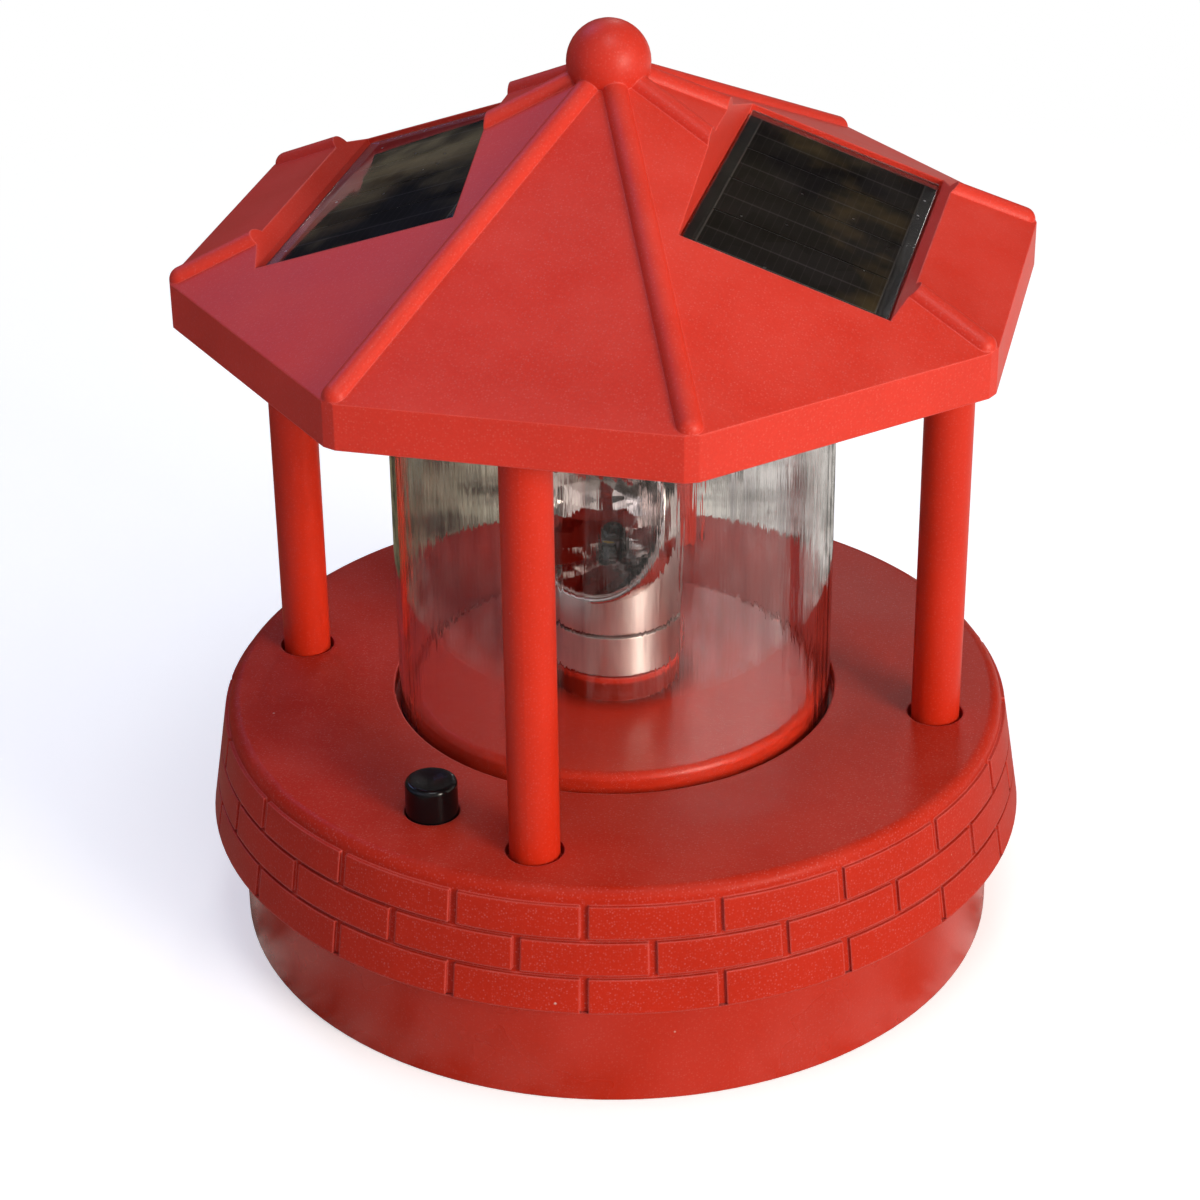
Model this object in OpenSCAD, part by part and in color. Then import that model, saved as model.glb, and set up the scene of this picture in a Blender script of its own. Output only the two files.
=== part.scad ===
// Garden lighthouse lantern with a solar roof, a clear lens tube and a turning lamp
// Millimetres, Z up, origin on the ground under the middle of the base
// The front pillar stands on the -Y side and the two solar panels face +X and -X

/* [Overall] */
// Height from the ground to the top of the finial
overall_h = 175; // [172:0.5:190]
// Width of the roof across two parallel eaves
roof_flats = 145; // [143:0.5:152]

/* [Roof] */
// Height of the upright fascia round the eaves
fascia_h = 8.2; // [7.6:0.1:9.5]
// Rise from the top of the fascia to the point where the eight faces would meet
roof_rise = 35.2; // [33:0.2:37]
// Wall of the moulded roof
roof_wall = 2.2; // [1.8:0.1:2.6]
// Radius of the round ribs on the hips
rib_r = 2.3; // [2:0.1:2.8]
// How far a rib stands above the hip
rib_proud = 1.4; // [1:0.1:1.8]
// Radius of the ball finial
finial_r = 7.4; // [6.8:0.1:8.2]
// Height of the point where the faces would meet above the ball's middle
finial_sink = 0.2; // [0:0.1:1]
// Depth taken off each upright corner of the fascia
corner_trim = 0.5; // [0.2:0.1:1]

/* [Solar panels] */
// Length of a panel down the slope
panel_len = 37; // [34:0.5:38]
// Width of a panel along the eaves
panel_w = 64.8; // [60:0.2:66]
// Distance of a panel's upper edge from the roof's axis, seen from above
panel_in_x = 19.6; // [18:0.2:21]
// Thickness of a panel's circuit board
panel_board_t = 1.2; // [1:0.1:1.6]
// Thickness of the silicon cells
cell_t = 0.3; // [0.2:0.1:0.5]
// Thickness of the clear resin over the cells
resin_t = 0.8; // [0.6:0.1:1.2]
// Black border between the cells and the panel's edge
cell_border_w = 2.4; // [1.5:0.1:4]
// Number of cell strips on one panel
cell_count = 4; // [2:1:6]
// Gap between two cell strips
cell_gap = 0.5; // [0.3:0.1:1]
// Step from the pocket's floor down to the panel's face
panel_recess = 0.8; // [0.4:0.1:1.2]
// Clear gap round a panel in its seat
panel_gap = 0.35; // [0.2:0.05:0.6]
// Floor of the roof under a panel
pocket_floor_t = 1.6; // [1.2:0.1:2.2]
// Lean of the pocket's upper wall from upright
pocket_lean_in = 15; // [8:1:22]
// Lean of the pocket's lower wall from upright
pocket_lean_out = 30; // [20:1:38]
// Radius of the hole for the panel's lead
lead_hole_r = 1.6; // [1.4:0.1:2.2]

/* [Pillars] */
// Radius of a pillar
pillar_r = 4.5; // [4.2:0.1:5]
// Radius of a pillar's bore
pillar_bore_r = 3; // [2.5:0.1:3.4]
// Distance of the pillars from the middle
pillar_circle_r = 61.6; // [60.5:0.1:62.4]
// Radius of the hole in the deck that a pillar passes through
pillar_hole_r = 5.2; // [5.1:0.1:5.6]
// Wall of the sockets that hold the pillars
socket_wall = 2; // [1.6:0.1:2.4]
// Depth of the lower sockets below the deck's top
socket_deep = 14; // [11:0.5:15]
// Depth of the upper sockets below the ceiling
socket_short = 4; // [3:0.2:4.4]

/* [Lens tube] */
// Outer radius of the clear tube
tube_r = 41; // [40.4:0.1:41.4]
// Wall of the clear tube
tube_wall = 2; // [1.5:0.1:2.2]
// Thickness of the rubber ring at each end of the tube
seal_t = 1; // [0.8:0.1:1.5]
// Depth of the rim that holds the tube's top
rim_deep = 3.6; // [2.6:0.1:4.4]
// Wall of each of the rim's two rings
rim_wall = 1.4; // [1:0.1:1.6]

/* [Ceiling plate] */
// Height of the ceiling plate's underside above the fascia's lower edge
ceiling_up = 4.6; // [4.4:0.1:5]
// Thickness of the ceiling plate
ceiling_t = 2; // [1.6:0.1:2.2]
// Clear gap between the ceiling plate and the fascia
ceiling_gap = 0.4; // [0.3:0.1:0.8]

/* [Base] */
// Height of the deck above the ground
deck_z = 45; // [44:0.2:48]
// Outer radius of the deck at its rounded lip
deck_r = 73.6; // [73:0.1:74.4]
// Thickness of the deck
deck_t = 2.4; // [2:0.1:2.6]
// Radius of the deck's rounded lip
lip_r = 2.2; // [1.6:0.1:2.3]
// Height of the brick band's lower edge above the ground
band_z = 22.4; // [21:0.2:23.4]
// Radius of the mortar face at the lower edge of the brick band
band_low_r = 76.9; // [76.2:0.1:78]
// Wall of the brick band
band_wall = 2.2; // [1.8:0.1:2.6]
// Outer radius of the plain ring under the bricks
base_r = 72.4; // [71.8:0.1:72.8]
// Wall of the plain ring
base_wall = 2.2; // [1.8:0.1:2.6]
// Height of the underside above the ground
floor_z = 1.6; // [1.2:0.1:2]
// Thickness of the base's floor
floor_t = 2.2; // [2:0.1:2.6]
// Height of the spigot that the plain ring pushes up into the brick band
spigot_h = 4.6; // [3.6:0.2:6]
// Depth of the inward lip at the foot of the brick band
foot_lip_h = 2.2; // [1.6:0.1:3]

/* [Bricks] */
// Bricks in one course
brick_count = 20; // [16:1:24]
// Courses of bricks
course_count = 3; // [2:1:4]
// How far the bricks stand out from the mortar
brick_relief = 0.7; // [0.4:0.1:1]
// Width of the upright joints
joint_w = 1.5; // [1:0.1:2]
// Height of the level joints
joint_h = 0.8; // [0.5:0.1:1.2]

/* [Deck details] */
// Radius of the dark groove round the tube
groove_r = 42; // [41.8:0.1:42.6]
// Depth of the groove below the deck
groove_d = 3; // [2.6:0.1:3.4]
// Thickness of the ledge under the groove
ledge_t = 2.2; // [1.8:0.1:2.4]
// Radius of the opening inside the ledge
ledge_in_r = 32.4; // [32:0.1:33]
// Outer radius of the raised inner disc
disc_r = 38.6; // [38.2:0.1:38.8]
// Height of the inner disc above the deck
disc_up = 2.3; // [1.8:0.1:2.8]
// Thickness of the inner disc
disc_t = 2.4; // [2:0.1:2.6]
// Radius of the inner disc's rounded rim
disc_round = 1.5; // [1:0.1:1.8]
// Radius of the collar under the lamp
collar_r = 12.3; // [11.8:0.1:13]
// Height of the collar above the inner disc
collar_h = 4.8; // [4.4:0.1:5.2]

/* [Lamp head] */
// Radius of the chromed lamp head
head_r = 12.5; // [12:0.1:13]
// Height of the head's lower ring
head_ring_h = 8; // [7.6:0.1:8.4]
// Height of the seam between the head's two pieces
seam_h = 0.6; // [0.4:0.1:0.8]
// Depth of the seam
seam_d = 0.5; // [0.3:0.1:0.8]
// Radius of the reflector's bezel
bowl_r = 18; // [17:0.1:18.6]
// Depth of the reflector's bezel
bezel_d = 4.5; // [3.5:0.1:5]
// Depth of the bowl from its bezel's front
bowl_d = 15; // [14:0.2:16]
// Wall of the bowl
bowl_wall = 1.2; // [1:0.1:1.4]
// Height of the bowl's middle above the head's seam
bowl_up = 23.8; // [23.6:0.1:24.4]
// Distance of the bezel's middle in front of the axis
bowl_out = 7; // [6.4:0.1:7.6]
// Upward tilt of the bowl
bowl_tilt = 16; // [10:1:20]
// Compass angle that the bowl faces at rest
bowl_face = -118; // [-180:1:180]

/* [Drive] */
// Pitch radius of the gear under the lamp
gear_pitch_r = 21; // [20:0.1:21.4]
// Teeth on the gear under the lamp
gear_teeth = 42; // [40:1:42]
// Teeth on the motor's pinion
pinion_teeth = 14; // [13:1:15]
// Width of both gears
gear_w = 4; // [3.4:0.1:4.2]
// Radius of the hollow shaft under the lamp
hub_r = 5; // [4.8:0.1:5.2]
// Radius of the hollow shaft's bore
hub_bore_r = 3.2; // [3:0.1:3.4]
// Wall of the bearing bush
bush_wall = 2; // [1.6:0.1:2.4]
// Running gap between the shaft and the bush
run_gap = 0.06; // [0.04:0.01:0.09]
// Height of the drive plate's top above the ground
plate_z = 30; // [29.6:0.1:30.4]
// Thickness of the drive plate
plate_t = 2; // [1.6:0.1:2.4]
// Radius of the motor's can
motor_r = 12; // [11:0.1:12.4]
// Length of the motor's can
motor_h = 19; // [16:0.5:20]
// Radius of the motor's shaft
shaft_r = 1.5; // [1.3:0.1:1.7]
// Radius of the lamp post in the hollow shaft
post_r = 2.4; // [2.2:0.1:2.5]
// Radius of the lamp's light-emitting diode
led_r = 2.5; // [2.3:0.1:2.6]
// Height of the diode's tip above the deck
led_up = 33.5; // [32:0.5:35]

/* [Power and controls] */
// Radius of the push button
button_r = 4.7; // [4.4:0.1:5]
// Height of the push button above the deck
button_h = 6.5; // [5.5:0.1:7]
// Travel of the push button
button_travel = 1.8; // [1.2:0.1:2]
// Length of the button's return spring at rest
spring_len = 4; // [3.8:0.1:4.4]
// Clear gap round the push button
button_gap = 0.3; // [0.2:0.05:0.5]
// Place of the push button to the side of the middle
button_x = -21; // [-22:0.1:-20.4]
// Place of the push button in front of the middle
button_y = -53.2; // [-54:0.1:-52.6]
// Radius of the rechargeable cell
cell_r = 7.25; // [7:0.05:7.4]
// Length of the rechargeable cell without its button
cell_len = 49.5; // [49:0.1:50]
// Place of the cell in front of the middle
battery_y = -24; // [-25:0.2:-23.6]
// Thickness of the control board
board_t = 1.6; // [1.2:0.1:1.8]
// Radius of the leads
lead_r = 0.8; // [0.6:0.05:0.9]

/* [Fasteners] */
// Radius of the long housing screws
screw_r = 1.45; // [1.3:0.05:1.5]
// Radius of the small screws
small_screw_r = 1; // [0.9:0.05:1.1]
// Radius of a long screw's head
screw_head_r = 2.7; // [2.5:0.1:2.9]
// Radius of a small screw's head
small_head_r = 1.9; // [1.7:0.1:2]

/* [Hidden] */
$fn = 96;

// One overrun for all cuts
over = 1;
// Clearance of pieces that are fixed to each other
fit_gap = 0.06;
// Small clear gap between pieces that pass each other
clear_gap = 0.3;
// Number of equal sides of the roof, and the turn from one to the next
side_count = 8;
side_turn = 360 / side_count;

// Roof
roof_half = roof_flats / 2;
roof_corner_r = roof_half / cos(side_turn / 2);
finial_z = overall_h - finial_r;
apex_z = finial_z + finial_sink;
fascia_z = apex_z - roof_rise;
eave_z = fascia_z - fascia_h;
face_tan = roof_rise / roof_half;
hip_tan = roof_rise / roof_corner_r;
hip_angle = atan(hip_tan);
inner_drop = roof_wall / cos(atan(face_tan));
inner_half = roof_half - roof_wall;
ceiling_z = eave_z + ceiling_up;
ceiling_top_z = ceiling_z + ceiling_t;

// Panels: the pocket's floor is flatter than the roof, so that its long edges
// lie flush in the two neighbouring faces
panel_slope = atan(face_tan * cos(side_turn));
panel_t = panel_board_t + cell_t + resin_t;
panel_mid_x = panel_in_x + panel_len * cos(panel_slope) / 2;
seat_half_w = panel_w / 2 + panel_gap;
seat_half_len = panel_len / 2 + panel_gap;
panel_mid_z = apex_z - tan(panel_slope) * (seat_half_w + panel_mid_x);
seat_deep = panel_recess + panel_t;
tray_deep = seat_deep + pocket_floor_t;
// Height of the wedge that clears the roof above a pocket
pocket_top = roof_rise * cos(side_turn);

// Fastening of the roof
roof_boss_circle_r = 50;
roof_boss_r = 3.4;
roof_screw_len = 9;
head_h = 1.8;
small_head_h = 1.1;
pillar_top_z = ceiling_z;
pillar_low_z = deck_z - socket_deep;
socket_floor_t = 1.8;
socket_low_z = pillar_low_z - socket_floor_t;
socket_r = pillar_r + socket_wall;
lead_exit_r = 2.2;

// Base
deck_low_z = deck_z - deck_t;
band_top_z = deck_z - lip_r;
band_h = band_top_z - band_z;
band_lean = atan((band_low_r - deck_r) / band_h);
course_h = band_h / course_count;
brick_turn = 360 / brick_count;
groove_z = deck_z - groove_d;
ledge_low_z = groove_z - ledge_t;
floor_top_z = floor_z + floor_t;
spigot_top_z = band_z + spigot_h;
foot_in_r = base_r + fit_gap;
housing_boss_inset = 12.4;
housing_boss_circle_r = base_r - housing_boss_inset;
housing_boss_r = 3.5;
housing_post_r = 4.4;
housing_split_z = 24;
screw_seat_z = 17;
housing_screw_len = 18;

// Inner disc
disc_z = deck_z + disc_up;
disc_low_z = disc_z - disc_t;
disc_skirt_wall = 2;
disc_boss_count = 3;
disc_boss_r = 2.6;
disc_boss_circle_r = disc_r - disc_skirt_wall / 2 - disc_boss_r;
disc_boss_turn = 30;
disc_screw_len = 5;
collar_z = disc_z + collar_h;
bush_in_r = hub_r + run_gap;
bush_r = bush_in_r + bush_wall;
bush_flange_r = bush_r + bush_wall / 2;
bush_flange_h = 0.8;
bush_len = 12.1;
bush_top_z = collar_z + clear_gap;
bush_low_z = bush_top_z - bush_len;
bush_boss_r = bush_r + socket_wall;

// Lamp head
head_z = bush_top_z + clear_gap;
seam_z = head_z + head_ring_h;
reflector_z = seam_z + seam_h;
bowl_z = seam_z + bowl_up;
bowl_in_r = bowl_r - bowl_wall;
head_top_z = bowl_z - bowl_r * sin(bowl_tilt);
head_spigot_r = head_r - seam_d;
led_top_z = deck_z + led_up;
led_h = 8.6;
led_flange_r = led_r + clear_gap;
led_flange_h = 1;
post_top_z = led_top_z - led_h;
post_bore_r = 1.1;
post_flange_r = 4;
post_flange_h = 1;
bowl_steps = 14;

// Gears
gear_module = 2 * gear_pitch_r / gear_teeth;
pinion_pitch_r = gear_pitch_r * pinion_teeth / gear_teeth;
motor_y = gear_pitch_r + pinion_pitch_r;
gear_z = plate_z + post_flange_h + clear_gap;
pressure_angle = 20;
addendum_share = 0.86;
dedendum_share = 1.2;
backlash_share = 0.2;
flank_steps = 6;
motor_low_z = plate_z - plate_t - motor_h;
motor_boss_r = 4;
motor_boss_h = 2.6;
shaft_deep = 6;
shaft_top_z = gear_z + gear_w + over;
motor_screw_x = 9.6;
motor_screw_len = 5;
plate_half_x = 31;
plate_back_y = motor_y + motor_r + over;
plate_front_y = 19;
plate_round = 4;
drive_post_x = 25;
drive_post_y = 13;
drive_post_r = 3.2;
drive_screw_len = 9;

// Push button, switch and control board
button_top_z = deck_z + button_h;
button_round = 0.9;
button_flange_r = button_r + 1.1 * lead_r;
button_flange_h = 1;
button_flange_z = deck_low_z - clear_gap - button_flange_h;
board_z = plate_z + 1.2 * board_t;
board_top_z = board_z + board_t;
board_x = -23.5;
board_y = -46.4;
board_len = 28;
board_wide = 22;
switch_side = 8;
switch_top_z = button_flange_z - spring_len;
plunger_r = 1.6;
plunger_deep = 1.2;
plunger_bore_deep = 4.4;
spring_r = 3.3;
spring_wall = 0.6;
board_screws_xy = [[-33.6, -39.6], [-12.6, -53.4]];
board_boss_r = 2.6;
board_screw_len = 6;

// Battery bay
cell_nub_r = 2.7;
cell_nub_h = 1;
bay_wall = 1.4;
bay_half_y = cell_r + 0.9;
contact_t = 0.4;
contact_spring_len = 4.6;
contact_spring_r = 3.6;
bay_half_x = (cell_len + cell_nub_h + contact_spring_len) / 2 + contact_t + fit_gap;
bay_top_z = floor_top_z + 2 * cell_r + 1.4;
cell_z = floor_top_z + cell_r + clear_gap;
cell_x = (contact_spring_len - cell_nub_h) / 2;
door_lip = 2;
door_t = 1.5;
door_half_x = bay_half_x + door_lip;
door_half_y = bay_half_y + door_lip;
door_gap = 0.25;
door_lobe_r = 5;
door_screw_x = door_half_x + 2.4;
door_post_r = 3;
door_post_h = 9;
door_screw_len = 8;

// Colours
red = [0.78, 0.13, 0.06];
deep_red = [0.55, 0.09, 0.06];
black = [0.05, 0.05, 0.06];
silver = [0.8, 0.8, 0.82];
white = [0.93, 0.93, 0.9];
brass = [0.8, 0.66, 0.3];
rubber = [0.16, 0.16, 0.17];
board_green = [0.1, 0.36, 0.2];
cell_blue = [0.07, 0.08, 0.14];
clear = [0.85, 0.92, 0.95, 0.35];

// Shared shapes

// A gabled prism along Y, whose eaves stand half_w from the middle
module gable(half_w, low_z, wall_z, ridge_z) {
    rotate([90, 0, 0])
        linear_extrude(height = 4 * half_w, center = true)
            polygon([
                [-half_w, low_z],
                [half_w, low_z],
                [half_w, wall_z],
                [0, ridge_z],
                [-half_w, wall_z]
            ]);
}

// An octagonal pyramid on an upright wall
module pyramid(half_w, low_z, wall_z, ridge_z) {
    intersection_for(side = [0:side_count / 2 - 1])
        rotate([0, 0, side * side_turn])
            gable(half_w, low_z, wall_z, ridge_z);
}

// A ring, or a tube, standing on z
module ring(outer_r, inner_r, z, h) {
    translate([0, 0, z])
        difference() {
            cylinder(h = h, r = outer_r);
            translate([0, 0, -over])
                cylinder(h = h + 2 * over, r = inner_r);
        }
}

// A screw that points up: its head hangs below z and its shank rises from it
module screw_up(shank_r, head_r, head_h, len) {
    difference() {
        union() {
            cylinder(h = len, r = shank_r);
            translate([0, 0, -head_h])
                cylinder(h = head_h, r = head_r);
        }
        translate([-head_r, -head_r / 8, -head_h - over])
            cube([2 * head_r, head_r / 4, over + head_h / 2]);
    }
}

// A screw that points down: its head stands above z
module screw_down(shank_r, head_r, head_h, len) {
    mirror([0, 0, 1])
        screw_up(shank_r, head_r, head_h, len);
}

// A box centred on X and Y, standing on z
module plinth(len_x, len_y, z, h) {
    translate([-len_x / 2, -len_y / 2, z])
        cube([len_x, len_y, h]);
}

// A round lead through a list of points, cut square at both ends
module lead(points) {
    for (i = [1:len(points) - 2])
        translate(points[i])
            sphere(r = lead_r);
    for (i = [0:len(points) - 2])
        lead_run(points[i], points[i + 1]);
}

module lead_run(from, to) {
    run = to - from;
    flat = norm([run[0], run[1]]);
    translate(from)
        rotate([0, atan2(flat, run[2]), atan2(run[1], run[0])])
            cylinder(h = norm(run), r = lead_r);
}

// Places the frame of the panel on one side: +1 is right and -1 is left.
// There +X runs down the slope and z is zero on the pocket's floor.
module at_panel(side) {
    rotate([0, 0, side > 0 ? 0 : 180])
        translate([panel_mid_x, 0, panel_mid_z])
            rotate([0, panel_slope, 0])
                children();
}

module at_pillar(turn) {
    rotate([0, 0, turn])
        translate([pillar_circle_r, 0, 0])
            children();
}

module at_roof_bosses() {
    for (turn = [side_turn:2 * side_turn:360])
        rotate([0, 0, turn])
            translate([roof_boss_circle_r, 0, 0])
                children();
}

module at_housing_bosses() {
    for (turn = [side_turn:2 * side_turn:360])
        rotate([0, 0, turn])
            translate([housing_boss_circle_r, 0, 0])
                children();
}

module at_disc_bosses() {
    for (i = [0:disc_boss_count - 1])
        rotate([0, 0, disc_boss_turn + i * 360 / disc_boss_count])
            translate([disc_boss_circle_r, 0, 0])
                children();
}

module at_drive_posts() {
    for (x = [-drive_post_x, drive_post_x])
        for (y = [-drive_post_y, drive_post_y])
            translate([x, y, 0])
                children();
}

// Roof

module roof_outside() {
    intersection() {
        pyramid(roof_half, eave_z, fascia_z, apex_z);
        translate([0, 0, eave_z - over])
            cylinder(h = overall_h, r = roof_corner_r - corner_trim);
    }
}

module roof_inside() {
    ridge_z = apex_z - inner_drop;
    pyramid(inner_half, eave_z - over, ridge_z - face_tan * inner_half, ridge_z);
}

// A round rib down one hip, ending just inside the fascia's corner
module hip_rib() {
    end_r = roof_corner_r - corner_trim - rib_r;
    translate([0, 0, apex_z - (rib_r - rib_proud) / cos(hip_angle)])
        rotate([0, 90 + hip_angle, 0]) {
            translate([0, 0, finial_r / 2])
                cylinder(h = end_r / cos(hip_angle) - finial_r / 2, r = rib_r);
            translate([0, 0, end_r / cos(hip_angle)])
                sphere(r = rib_r);
        }
}

// The wedge over a panel's seat, opened by grow on every side
module pocket_wedge(low, grow, half_y) {
    rotate([90, 0, 0])
        linear_extrude(height = 2 * half_y, center = true)
            polygon([
                [-seat_half_len - grow, low],
                [seat_half_len + grow, low],
                [seat_half_len + grow, 0],
                [seat_half_len + grow + pocket_top * tan(pocket_lean_out), pocket_top],
                [-seat_half_len - grow - pocket_top * tan(pocket_lean_in), pocket_top],
                [-seat_half_len - grow, 0]
            ]);
}

module roof_bosses() {
    top_z = apex_z - face_tan * (roof_boss_circle_r + roof_boss_r) - roof_wall / 2;
    at_roof_bosses()
        translate([0, 0, ceiling_top_z])
            cylinder(h = top_z - ceiling_top_z, r = roof_boss_r);
}

module roof_shell() {
    color(red)
        difference() {
            union() {
                difference() {
                    union() {
                        roof_outside();
                        for (side = [0:side_count - 1])
                            rotate([0, 0, side_turn * (side + 1 / 2)])
                                hip_rib();
                    }
                    roof_inside();
                }
                for (side = [-1, 1])
                    intersection() {
                        roof_outside();
                        at_panel(side)
                            pocket_wedge(-tray_deep, roof_wall, seat_half_w + roof_wall);
                    }
                roof_bosses();
                translate([0, 0, finial_z])
                    sphere(r = finial_r);
            }
            for (side = [-1, 1])
                at_panel(side) {
                    pocket_wedge(0, 0, 2 * roof_half);
                    plinth(2 * seat_half_len, 2 * seat_half_w, -seat_deep, seat_deep + over);
                }
            for (side = [-1, 1])
                translate([side * panel_mid_x, 0, ceiling_top_z])
                    cylinder(h = panel_mid_z - ceiling_top_z, r = lead_hole_r);
            at_roof_bosses()
                translate([0, 0, ceiling_top_z - over])
                    cylinder(h = over + roof_screw_len - ceiling_t + clear_gap, r = screw_r + fit_gap);
        }
}

module ceiling_plate() {
    plate_half = inner_half - ceiling_gap;
    color(red)
        difference() {
            union() {
                intersection_for(side = [0:side_count / 2 - 1])
                    rotate([0, 0, side * side_turn])
                        plinth(2 * plate_half, 2 * roof_flats, ceiling_z, ceiling_t);
                ring(tube_r + fit_gap + rim_wall, tube_r + fit_gap, ceiling_z - rim_deep, rim_deep + over);
                ring(tube_r - tube_wall - fit_gap, tube_r - tube_wall - fit_gap - rim_wall,
                    ceiling_z - rim_deep, rim_deep + over);
                for (turn = [0:90:270])
                    at_pillar(turn)
                        ring(socket_r, pillar_r + fit_gap, ceiling_z - socket_short, socket_short + over / 2);
            }
            for (turn = [0:90:270])
                at_pillar(turn) {
                    translate([0, 0, ceiling_z - socket_short - over])
                        cylinder(h = socket_short + over, r = pillar_r + fit_gap);
                    translate([0, 0, ceiling_z - over])
                        cylinder(h = ceiling_t + 2 * over, r = lead_exit_r);
                }
            at_roof_bosses()
                translate([0, 0, ceiling_z - over])
                    cylinder(h = ceiling_t + 2 * over, r = screw_r + clear_gap);
        }
}

module roof_screws() {
    color(silver)
        at_roof_bosses()
            translate([0, 0, ceiling_z])
                screw_up(screw_r, screw_head_r, head_h, roof_screw_len);
}

// Solar panels

module solar_board(side) {
    color(black)
        difference() {
            at_panel(side)
                plinth(panel_len, panel_w, -seat_deep, panel_board_t);
            translate([side * panel_mid_x, 0, ceiling_top_z])
                cylinder(h = panel_mid_z - ceiling_top_z, r = lead_r + fit_gap);
        }
}

module solar_cells(side) {
    strip_w = (panel_w - 2 * cell_border_w - (cell_count - 1) * cell_gap) / cell_count;
    color(cell_blue)
        at_panel(side)
            for (i = [0:cell_count - 1])
                translate([0, (strip_w + cell_gap) * (i - (cell_count - 1) / 2), 0])
                    plinth(panel_len - 2 * cell_border_w, strip_w, panel_board_t - seat_deep, cell_t);
}

// The resin fills the gaps between the cells and stands on the board
module solar_cover(side) {
    strip_w = (panel_w - 2 * cell_border_w - (cell_count - 1) * cell_gap) / cell_count;
    color(clear)
        at_panel(side)
            difference() {
                plinth(panel_len, panel_w, panel_board_t - seat_deep, cell_t + resin_t);
                for (i = [0:cell_count - 1])
                    translate([0, (strip_w + cell_gap) * (i - (cell_count - 1) / 2), 0])
                        plinth(panel_len - 2 * cell_border_w, strip_w,
                            panel_board_t - seat_deep - over, cell_t + over);
            }
}

// Pillars and lens tube

module pillar(turn) {
    color(red)
        at_pillar(turn)
            ring(pillar_r, pillar_bore_r, pillar_low_z, pillar_top_z - pillar_low_z);
}

module lens_tube() {
    low_z = groove_z + seal_t;
    color(clear)
        ring(tube_r, tube_r - tube_wall, low_z, ceiling_z - seal_t - low_z);
}

module tube_seal_top() {
    color(rubber)
        ring(tube_r, tube_r - tube_wall, ceiling_z - seal_t, seal_t);
}

module tube_seal_bottom() {
    color(rubber)
        ring(tube_r, tube_r - tube_wall, groove_z, seal_t);
}

// Deck and brick band in one moulding

// The band's outline, standing proud of the mortar face by the given height
module band_outline(proud, top_z) {
    polygon([
        [0, band_z],
        [band_low_r + proud, band_z],
        [band_low_r + proud - tan(band_lean) * (top_z - band_z), top_z],
        [0, top_z]
    ]);
}

module housing_outline() {
    band_outline(0, band_top_z);
    band_outline(brick_relief, band_top_z - joint_h / 2);
    translate([0, band_z])
        square([deck_r - lip_r, deck_z - band_z]);
    translate([deck_r - lip_r, band_top_z])
        circle(r = lip_r);
}

module housing_hollow() {
    step_r = groove_r + ledge_t;
    foot_z = band_z + foot_lip_h;
    polygon([
        [0, band_z - over],
        [foot_in_r, band_z - over],
        [foot_in_r, foot_z],
        [band_low_r - band_wall - tan(band_lean) * foot_lip_h, foot_z],
        [deck_r - band_wall, deck_low_z],
        [step_r, deck_low_z],
        [step_r, ledge_low_z],
        [0, ledge_low_z]
    ]);
    translate([0, groove_z])
        square([groove_r, deck_z]);
    square([ledge_in_r, overall_h]);
}

// The level joints are rings cut down to the mortar face
module level_joints() {
    rotate_extrude()
        for (i = [1:course_count - 1])
            intersection() {
                translate([0, band_z + i * course_h - joint_h / 2])
                    square([2 * deck_r, joint_h]);
                difference() {
                    band_outline(2 * over, band_top_z);
                    band_outline(0, band_top_z);
                }
            }
}

// The upright joints of every other course line up
module upright_joints() {
    for (course = [0:course_count - 1])
        for (i = [0:brick_count - 1])
            rotate([0, 0, (i + (course % 2 == 0 ? 1 / 2 : 0)) * brick_turn - 90])
                translate([deck_r + tan(band_lean) * (course_count - course - 1 / 2) * course_h, 0,
                    band_z + (course + 1 / 2) * course_h])
                    rotate([0, -band_lean, 0])
                        translate([0, -joint_w / 2, -course_h / 2])
                            cube([2 * over, joint_w, course_h]);
}

module deck_housing() {
    color(red)
        difference() {
            union() {
                rotate_extrude()
                    difference() {
                        housing_outline();
                        housing_hollow();
                    }
                for (turn = [0:90:270])
                    at_pillar(turn)
                        translate([0, 0, socket_low_z])
                            cylinder(h = deck_low_z - socket_low_z + over, r = socket_r);
                at_housing_bosses()
                    translate([0, 0, housing_split_z])
                        cylinder(h = deck_low_z - housing_split_z + over, r = housing_boss_r);
                for (place = board_screws_xy)
                    translate([place[0], place[1], board_top_z])
                        cylinder(h = deck_low_z - board_top_z + over, r = board_boss_r);
            }
            level_joints();
            upright_joints();
            for (turn = [0:90:270])
                at_pillar(turn) {
                    translate([0, 0, deck_low_z])
                        cylinder(h = deck_t + over, r = pillar_hole_r);
                    translate([0, 0, pillar_low_z])
                        cylinder(h = socket_deep, r = pillar_r + fit_gap);
                    translate([0, 0, socket_low_z - over])
                        cylinder(h = socket_deep, r = lead_exit_r);
                }
            at_housing_bosses()
                translate([0, 0, housing_split_z - over])
                    cylinder(h = housing_screw_len - (housing_split_z - screw_seat_z) + over + clear_gap,
                        r = screw_r + fit_gap);
            for (place = board_screws_xy)
                translate([place[0], place[1], board_top_z - over])
                    cylinder(h = board_screw_len - board_t + over + clear_gap, r = small_screw_r + fit_gap);
            translate([button_x, button_y, deck_low_z - over])
                cylinder(h = deck_t + 2 * over, r = button_r + button_gap);
            at_disc_bosses()
                translate([0, 0, ledge_low_z - over])
                    cylinder(h = ledge_t + 2 * over, r = small_screw_r + clear_gap);
        }
}

// Inner disc, which covers the drive and carries the lamp's bearing

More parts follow.
